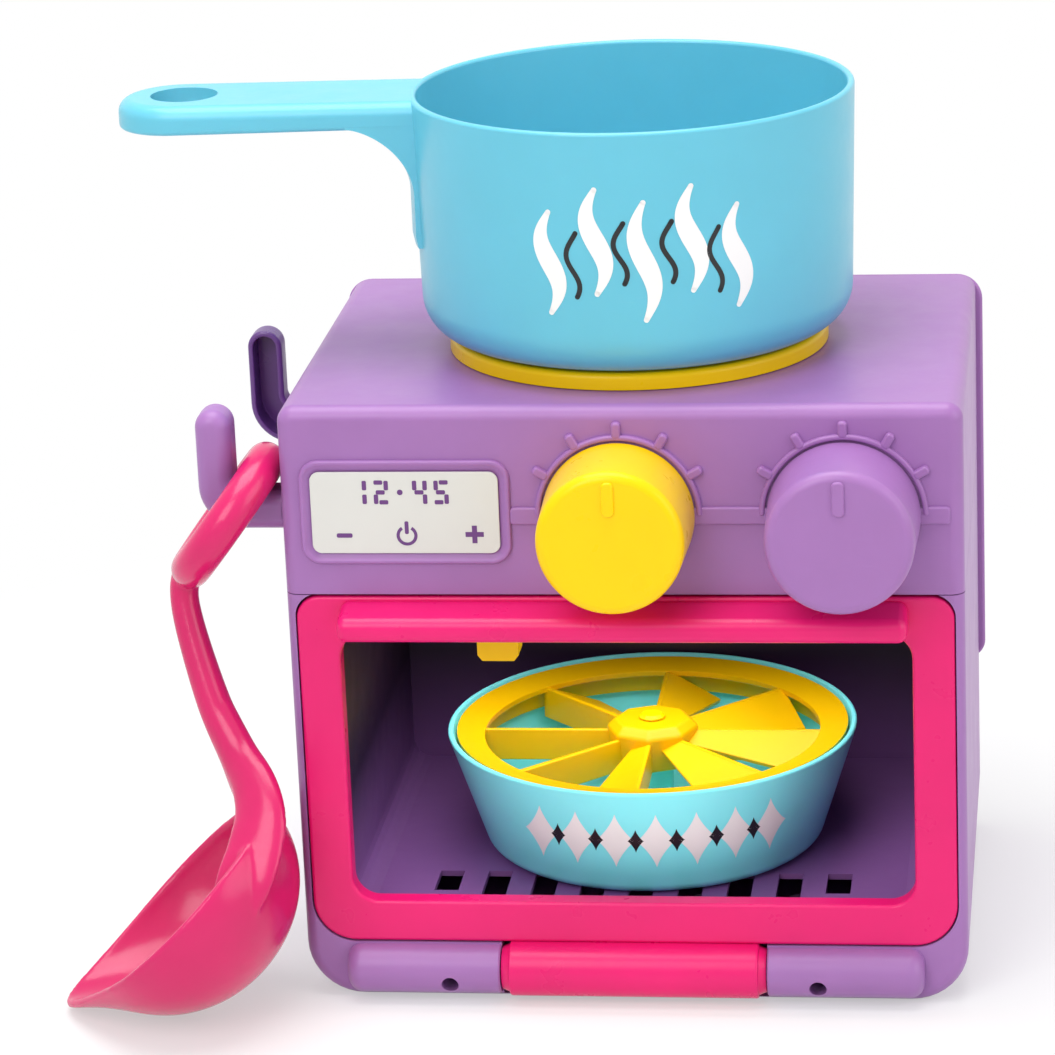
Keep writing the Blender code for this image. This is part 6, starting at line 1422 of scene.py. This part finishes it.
def ladle_strap():
    """The handle's flat foot, which widens and lies down on the bowl's side."""
    # Places from LADLE_AT, half width and half thickness, in millimetres
    course = [(-21.5, -7.4, -60.0, 3.2, 3.2), (-17.2, -11.6, -70.6, 4.9, 4.6), (-9.8, -18.6, -83.6, 6.1, 4.6),
              (-3.9, -26.2, -91.2, 7.6, 4.3), (-1.2, -33.2, -98.4, 8.6, 3.8), (-1.9, -39.4, -105.9, 9.0, 3.0),
              (-4.6, -45.3, -113.9, 9.0, 2.0), (-8.6, -48.2, -123.0, 7.5, 0.7)]
    facing = Vector((-0.25, -1.0, 0.15))
    route = smooth_route([p[:3] for p in course], 8)
    sizes = smooth_route([(p[3], p[4], 0) for p in course], 8)
    rings = []
    for i, point in enumerate(route):
        ahead = ahead_at(route, i)
        side = ahead.cross(facing).normalized()
        out = side.cross(ahead)
        rings.append([LADLE_AT + (point + side * c * sizes[i].x + out * s * sizes[i].y) * MM
                      for c, s in circle(36)])
    return loft("ladle_strap", rings)


def ladle_bowl():
    """Half of a round bowl, drawn out to a lip on one side."""
    half_size = Vector((38.0, 37.5, 33.7)) * MM
    lip_reach = 15.0 * MM
    bm = bmesh.new()
    bmesh.ops.create_uvsphere(bm, u_segments=96, v_segments=64, radius=1.0)
    upper = [vert for vert in bm.verts if vert.co.z > 0.0001]
    bmesh.ops.delete(bm, geom=upper, context="VERTS")
    for vert in bm.verts:
        lip = max(0.0, vert.co.x) ** 8 * (1 - abs(vert.co.z)) ** 3
        vert.co = vert.co * half_size
        vert.co.x += lip * lip_reach
    bowl = mesh_object("ladle_bowl", bm)
    shell = bowl.modifiers.new("wall", "SOLIDIFY")
    shell.thickness = 2.5 * MM
    shell.offset = -1
    baked(bowl)
    pitch = turn_about("Z", 180) @ turn_about("Y", 44.5)
    middle = LADLE_AT + Vector((-28.4, -25.2, -127.0)) * MM
    bowl.matrix_world = Matrix.Translation(middle) @ turn_about("X", 3.6) @ pitch
    return bowl


def make_hook(node, facing):
    """A J hook, smooth on one side and hollow on the other; facing is 1 for a hollow to the rear."""
    low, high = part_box(node)
    y = (low.y + high.y) / 2
    wall_x = -HALF_WIDTH
    depth = 11 * MM
    outer = low.x
    peg_radius = 5.35 * MM
    peg = outer + 2 * peg_radius
    foot = low.z
    arm = foot + 12 * MM
    slot = 4 * MM
    elbow = 13 * MM

    def outline(inset, end):
        return ([(end, foot + inset), (end, arm - inset)]
                + arc(peg + slot, arm + slot, slot + inset, 270, 180, 8)
                + arc(outer + peg_radius, high.z - peg_radius, peg_radius - inset, 0, 180, 20)
                + arc(outer + elbow, foot + elbow, elbow - inset, 180, 270, 12))

    root = wall_x + 6 * MM
    smooth_edge = 4.3 * MM
    hollow_edge = 1.0 * MM
    rings = []
    for edge, end, steps in ((smooth_edge, -facing, 10), (hollow_edge, facing, 5)):
        rows = []
        for drawn, rise in soft_edge(edge, steps):
            at = y + end * (depth / 2 - rise)
            rows.append([(x, at, z) for x, z in outline(drawn, root)])
        rings += rows if end == -facing else reversed(rows)
    hook = loft("hook", rings)
    wall = 1.7 * MM
    floor = 2.4 * MM
    deep = depth - floor + 1 * MM
    gap = 0.3 * MM
    pocket = plate("hook_pocket", outline(wall, wall_x - gap - wall), deep,
                   placed(0, y + facing * (floor - depth / 2 + deep / 2), 0, FACING_FRONT))
    cut(hook, block("inside", (wall_x - gap, -FAR, -FAR), (FAR, FAR, FAR)), pocket)
    rounded(hook, 0.4 * MM, 3, 60)
    tongue = block("hook_tongue", (wall_x - 1.3 * MM, y - depth / 2, foot + 3 * MM),
                   (wall_x + 8 * MM, y + depth / 2, arm - 3 * MM))
    return together(hook, rounded(tongue, 0.3 * MM, 2))


class KITCHEN_OT_hooks(bpy.types.Operator):
    """Make the two hooks on the cabinet's side"""
    bl_idname = "toy_kitchen.hooks"
    bl_label = "Hooks"

    def execute(self, context):
        # The rear hook takes the darker purple, which is painted shade.
        hooks = (("ladle_hook_front", 1, purple), ("ladle_hook_rear", -1, shaded_hook_purple))
        for node, facing, finish in hooks:
            dress(make_hook(node, facing), finish(), "cabinet", "purple_plastic", node, smooth=40)
        return {"FINISHED"}


class KITCHEN_OT_ladle(bpy.types.Operator):
    """Make the ladle that hangs on the front hook"""
    bl_idname = "toy_kitchen.ladle"
    bl_label = "Ladle"

    def execute(self, context):
        dress(make_ladle(), ladle_pink(), "ladle_body", "pink_plastic", "ladle", smooth=60)
        return {"FINISHED"}


# Rear cover, suction cups and screws

REAR_FACE = REAR + 2.7 * MM
CUP_PLACES = [(side * 65 * MM, z * MM) for z in (86, 150) for side in SIDES]
POST_PLACES = [(side * 92.4 * MM, z * MM) for z in (15, 172) for side in SIDES]


def make_rear_cover():
    """The plate that closes the back, with a flange, ribs and sunk seats for its screws."""
    wall = 2.7 * MM
    face = 71.1 * MM
    outline = round_rect(2 * HALF_WIDTH - 2 * wall, TOP - 2 * wall, 14.3 * MM, 2.3 * MM)
    inside = plate("rear_cover_piece", outline, REAR - face,
                   placed(0, (face + REAR) / 2, TOP / 2, FACING_FRONT))
    foot = 57 * MM
    height = TOP - foot - 0.2 * MM
    middle = foot + height / 2
    flange_y = REAR + 1.5 * MM
    pad = plate("rear_pad", round_rect(190 * MM, height - 8 * MM, 5 * MM, 8 * MM), 2 * MM,
                placed(0, REAR, middle, FACING_FRONT))
    flange = plate("rear_flange", round_rect(204.2 * MM, height, 6 * MM, 8 * MM, 10), 2.4 * MM,
                   placed(0, flange_y, middle, FACING_FRONT))
    rounded(flange, 1.0 * MM, 5)
    rib_half = 44 * MM
    rib_pitch = 24 * MM
    ribs = []
    for i in range(5):
        z = foot + (i + 0.6) * rib_pitch
        rib = block("rear_rib", (-rib_half, flange_y, z - 1 * MM),
                    (rib_half, REAR_FACE + 1.6 * MM, z + 1 * MM))
        ribs.append(rounded(rib, 0.6 * MM, 4))
    cover = fused(inside, pad, flange, *ribs)

    def hole(name, radius, start, x, z):
        return bar(name, radius, (x, start, z), (x, REAR + BEYOND, z))

    holes = [hole("cup_hole", 5.1 * MM, face - BEYOND, x, z) for x, z in CUP_PLACES]
    for x, z in POST_PLACES:
        holes.append(hole("screw_way", 1.4 * MM, face - BEYOND, x, z))
        holes.append(hole("screw_seat", 2.5 * MM, REAR - 0.45 * MM, x, z))
    return cut(cover, *holes)


def make_suction_cup(x, z):
    """A soft cup with a rolled lip, a short neck and a push-through button; its profile is in millimetres."""
    button_and_neck = [(0, -8.4), (5.0, -8.4), (5.6, -8.2), (6.8, -5.7), (6.7, -5.4), (4.8, -5.4), (4.8, 0.3),
                       (6.0, 0.3), (6.2, 0.5)]
    outside = smooth_route([(6.2, 0, 2.2), (8.6, 0, 3.3), (12.6, 0, 5.5), (18.1, 0, 8.7), (20, 0, 10.3)], 6)
    lip = [(19.9, 10.65)]
    inside = smooth_route([(19.2, 0, 10.7), (16.6, 0, 9.6), (12, 0, 7.0), (6, 0, 4.4), (0, 0, 3.5)], 6)
    profile = button_and_neck + [(p.x, p.z) for p in outside] + lip + [(p.x, p.z) for p in inside]
    return turned("suction_cup", [(r * MM, h * MM) for r, h in profile], (x, REAR_FACE, z), FACING_REAR, 96)


def make_screw(node):
    """A pan head screw with a cross recess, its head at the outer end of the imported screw."""
    radius = 2.2 * MM
    shank = 1.1 * MM
    head_depth = 1.5 * MM
    low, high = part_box(node)
    x = (low.x + high.x) / 2
    z = (low.z + high.z) / 2
    front = low.y < 0
    outer_end = low.y if front else high.y
    length = high.y - low.y
    profile = [(0, 0), (radius * 0.55, 0.08 * MM), (radius * 0.88, 0.35 * MM), (radius, 0.8 * MM),
               (radius, head_depth), (shank, head_depth)]
    pitch = 0.9 * MM
    thread_root = shank * 0.78
    at = 1.9 * MM
    while at + pitch < length - 1.2 * MM:
        profile += [(shank, at), (thread_root, at + pitch * 0.5)]
        at += pitch
    profile += [(shank, at), (0, length)]
    screw = turned("screw", profile, (x, outer_end, z), FACING_REAR if front else FACING_FRONT, 40)
    inward = 1 if front else -1
    arm = radius * 0.56
    half = radius * 0.13
    slots = []
    for lean in (20, 110):
        slot = block("cross", (-arm, -half, -1 * MM), (arm, half, 0.9 * MM))
        slot.matrix_world = placed(x, outer_end + inward * 0.1 * MM, z, FACING_FRONT @ turn_about("Z", lean))
        slots.append(slot)
    return cut(screw, *slots)


def make_air_hose():
    """The pump's hose, from the cylinder's nipple up and back to the nozzle in the sump."""
    nipple = Vector((-82.2, -52.7, 150.95)) * MM
    nozzle = Vector((-57.22, -10.09, 177.3)) * MM
    away = Vector((math.cos(math.radians(190)), math.sin(math.radians(190)), 0))
    up = Vector((0, 0, 1))
    radius = 2.8 * MM
    pull = 14 * MM
    start, end = nipple + up * radius, nozzle + away * radius
    start_pull, end_pull = start + up * pull, end + away * pull
    route = [nipple]
    for i in range(25):
        t = i / 24
        route.append(start * (1 - t) ** 3 + start_pull * (3 * (1 - t) ** 2 * t)
                     + end_pull * (3 * (1 - t) * t ** 2) + end * t ** 3)
    route.append(nozzle)
    return tube("air_hose_piece", route, [radius] * len(route), 32)


def make_piston_seal():
    """A ring with a rounded section in the piston's groove."""
    low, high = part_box("piston_seal")
    outer = (high.z - low.z) / 2
    inner = outer - 1.4 * MM
    half = (high.x - low.x) / 2
    profile = rounded_side(outer, -half, half, 0.35 * MM, 4)[::-1] + [(inner, -half), (inner, half)]
    return turned("piston_seal_piece", profile, (low + high) / 2, turn_about("Y", 90), 64, closed=True)


class KITCHEN_OT_rear(bpy.types.Operator):
    """Make the rear cover with its suction cups"""
    bl_idname = "toy_kitchen.rear"
    bl_label = "Rear cover"

    def execute(self, context):
        dress(make_rear_cover(), purple(), "cabinet", "purple_plastic", "rear_cover", smooth=30)
        for number, (x, z) in enumerate(CUP_PLACES, 1):
            dress(make_suction_cup(x, z), soft_clear(), "cabinet", "clear_soft_pvc",
                  "suction_cup_%d" % number, smooth=50)
        return {"FINISHED"}


class KITCHEN_OT_fittings(bpy.types.Operator):
    """Make the screws, the air hose and the pump's seal"""
    bl_idname = "toy_kitchen.fittings"
    bl_label = "Fittings"

    def execute(self, context):
        for row in ("front_screw", "rear_screw_low", "rear_screw_high"):
            for hand in ("left", "right"):
                node = "%s_%s" % (row, hand)
                dress(make_screw(node), steel(), "cabinet", "zinc_plated_steel", node)
        dress(make_air_hose(), soft_clear(), "cabinet", "clear_soft_pvc", "air_hose", smooth=60)
        dress(make_piston_seal(), soft_clear(), "pump", "clear_soft_pvc", "piston_seal", smooth=60)
        return {"FINISHED"}


# CAD pieces that keep their shape

class KITCHEN_OT_carried(bpy.types.Operator):
    """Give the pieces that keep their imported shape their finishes"""
    bl_idname = "toy_kitchen.carried"
    bl_label = "Packed pieces"

    def execute(self, context):
        makers = {
            "purple_plastic": purple, "dark_purple_plastic": shaded_cavity_purple, "pink_plastic": pink,
            "yellow_plastic": yellow, "light_blue_plastic": blue, "white_acetal": acetal,
            "label_card": card, "clear_soft_pvc": soft_clear, "zinc_plated_steel": steel,
        }
        slots = {entry["node"]: entry["material_slot"] for entry in frame["record"]["subparts"]}
        for name, obj in frame["nodes"].items():
            if obj.hide_render:
                continue
            material = makers[slots[name]]()
            for slot in obj.material_slots:
                slot.link = "OBJECT"
                slot.material = material
        return {"FINISHED"}


# Stage

def seen_share(tree, *kinds):
    """1 where one of these kinds of ray meets the background, and 0 for the light that falls on the toy."""
    rays = tree.nodes.new("ShaderNodeLightPath").outputs
    share = rays[kinds[0]]
    for kind in kinds[1:]:
        share = math_node(tree, "MAXIMUM", share, rays[kind])
    return share


def mixed(tree, share, first, second, surface):
    mix = tree.nodes.new("ShaderNodeMixShader")
    for socket, source in zip(mix.inputs, (share, first.outputs[0], second.outputs[0])):
        tree.links.new(source, socket)
    tree.links.new(mix.outputs[0], surface)


def make_floor():
    """A pale floor that the camera sees as white, while it keeps the object's soft shadow nearby."""
    far = 6.0
    below = 0.2 * MM
    grey = 0.82
    outline = [(far, -far), (far, far), (-far, far), (-far, -far)]
    floor = loft("floor", [[(x, y, -below) for x, y in outline]], caps=(True, False))
    material = bpy.data.materials.new("pale_floor")
    material.use_nodes = True
    tree = material.node_tree
    shader = tree.nodes["Principled BSDF"]
    shader.inputs["Base Color"].default_value = (grey, grey, grey, 1)
    shader.inputs["Roughness"].default_value = 0.9
    shader.inputs["Specular IOR Level"].default_value = 0.2
    place = tree.nodes.new("ShaderNodeTexCoord")
    length = tree.nodes.new("ShaderNodeVectorMath")
    length.operation = "LENGTH"
    tree.links.new(place.outputs["Object"], length.inputs[0])
    fade = ranged(tree, length.outputs["Value"], 160 * MM, 420 * MM, 0.45, 1.0)
    seen = seen_share(tree, "Is Camera Ray", "Is Glossy Ray")
    white = tree.nodes.new("ShaderNodeEmission")
    white.inputs["Strength"].default_value = 1.0
    mixed(tree, product(tree, fade, seen), shader, white, tree.nodes["Material Output"].inputs["Surface"])
    floor.data.materials.append(material)


def add_lamp(name, place, target, size, power):
    lamp = bpy.data.lights.new(name, "AREA")
    lamp.shape = "RECTANGLE"
    lamp.size, lamp.size_y = size
    lamp.energy = power
    obj = add_object(name, lamp)
    obj.location = place
    obj.rotation_mode = "QUATERNION"
    obj.rotation_quaternion = (Vector(target) - Vector(place)).to_track_quat("-Z", "Y")
    return obj


def make_lamps():
    """Three soft lamps round the toy, and a small one in the oven that doesn't show."""
    middle = (0, 0, 0.12)
    add_lamp("key_lamp", (-0.55, -1.35, 1.15), middle, (0.9, 0.9), 10.2)
    add_lamp("fill_lamp", (1.40, -0.60, 0.72), middle, (1.1, 1.1), 6.8)
    add_lamp("top_lamp", (-0.15, -0.05, 1.5), (0, 0, 0.1), (1.1, 1.1), 19)
    oven = add_lamp("oven_lamp", (-0.005, -0.018, 0.1185), (-0.005, -0.018, 0), (0.150, 0.080), 0.095)
    oven.data.spread = math.radians(110)
    oven.visible_camera = False
    oven.visible_glossy = False


def make_world():
    """A white background, and a weaker white light from all round."""
    world = bpy.data.worlds.new("studio")
    bpy.context.scene.world = world
    world.use_nodes = True
    tree = world.node_tree
    tree.nodes.clear()
    out = tree.nodes.new("ShaderNodeOutputWorld")
    soft, white = (tree.nodes.new("ShaderNodeBackground") for _ in range(2))
    for light, strength in ((soft, 0.55), (white, 1.0)):
        light.inputs["Color"].default_value = (1, 1, 1, 1)
        light.inputs["Strength"].default_value = strength
    seen = seen_share(tree, "Is Camera Ray", "Is Glossy Ray", "Is Transmission Ray")
    mixed(tree, seen, soft, white, out.inputs["Surface"])


def make_camera():
    """The photograph's viewpoint: in front of the toy, to its right and above, and a little rolled."""
    place = (0.1356, -1.2818, 0.5419)
    yaw, pitch, roll = (math.radians(angle) for angle in (7.66, 17.83, -2.42))
    ahead = Vector((-math.sin(yaw) * math.cos(pitch), math.cos(yaw) * math.cos(pitch), -math.sin(pitch)))
    right = ahead.cross(Vector((0, 0, 1))).normalized()
    up = right.cross(ahead)
    across = right * math.cos(roll) + up * math.sin(roll)
    above = up * math.cos(roll) - right * math.sin(roll)
    camera = bpy.data.cameras.new("studio_camera")
    camera.sensor_width = 36
    camera.lens = 149.71
    facing = Matrix((across, above, -ahead)).transposed().to_4x4()
    bpy.context.scene.camera = add_object("studio_camera", camera, Matrix.Translation(place) @ facing)


class KITCHEN_OT_stage(bpy.types.Operator):
    """Set the floor, the lamps, the world and the camera"""
    bl_idname = "toy_kitchen.stage"
    bl_label = "Stage"

    def execute(self, context):
        context.scene.view_settings.view_transform = "Standard"
        make_floor()
        make_world()
        make_lamps()
        make_camera()
        return {"FINISHED"}


class KITCHEN_PT_panel(bpy.types.Panel):
    """Lists the kitchen's settings and operators"""
    bl_idname = "KITCHEN_PT_panel"
    bl_label = "Toy Kitchen"
    bl_space_type = "VIEW_3D"
    bl_region_type = "UI"
    bl_category = "Toy Kitchen"

    def draw(self, context):
        layout = self.layout
        for settings in (colours(), finishes(), shape()):
            column = layout.column(align=True)
            for key in settings.__annotations__:
                column.prop(settings, key)
        for operator in OPERATORS:
            layout.operator(operator.bl_idname)


SETTINGS = (KitchenColours, KitchenFinish, KitchenShape)
OPERATORS = (KITCHEN_OT_cabinet, KITCHEN_OT_display, KITCHEN_OT_door, KITCHEN_OT_dials, KITCHEN_OT_hob,
             KITCHEN_OT_pan, KITCHEN_OT_tin, KITCHEN_OT_ladle, KITCHEN_OT_hooks, KITCHEN_OT_rear,
             KITCHEN_OT_fittings, KITCHEN_OT_carried, KITCHEN_OT_stage)


def register():
    for cls in (*SETTINGS, *OPERATORS, KITCHEN_PT_panel):
        bpy.utils.register_class(cls)
    bpy.types.Scene.kitchen_colours = PointerProperty(type=KitchenColours)
    bpy.types.Scene.kitchen_finish = PointerProperty(type=KitchenFinish)
    bpy.types.Scene.kitchen_shape = PointerProperty(type=KitchenShape)


def unregister():
    del bpy.types.Scene.kitchen_colours
    del bpy.types.Scene.kitchen_finish
    del bpy.types.Scene.kitchen_shape
    for cls in reversed((*SETTINGS, *OPERATORS, KITCHEN_PT_panel)):
        bpy.utils.unregister_class(cls)


def main():
    register()
    make_finishes()
    bpy.ops.toy_kitchen.cabinet()
    bpy.ops.toy_kitchen.display()
    bpy.ops.toy_kitchen.door()
    bpy.ops.toy_kitchen.dials()
    bpy.ops.toy_kitchen.hob()
    bpy.ops.toy_kitchen.pan()
    bpy.ops.toy_kitchen.tin()
    bpy.ops.toy_kitchen.ladle()
    bpy.ops.toy_kitchen.hooks()
    bpy.ops.toy_kitchen.rear()
    bpy.ops.toy_kitchen.fittings()
    bpy.ops.toy_kitchen.carried()
    bpy.ops.toy_kitchen.stage()


if __name__ == "__main__":
    main()
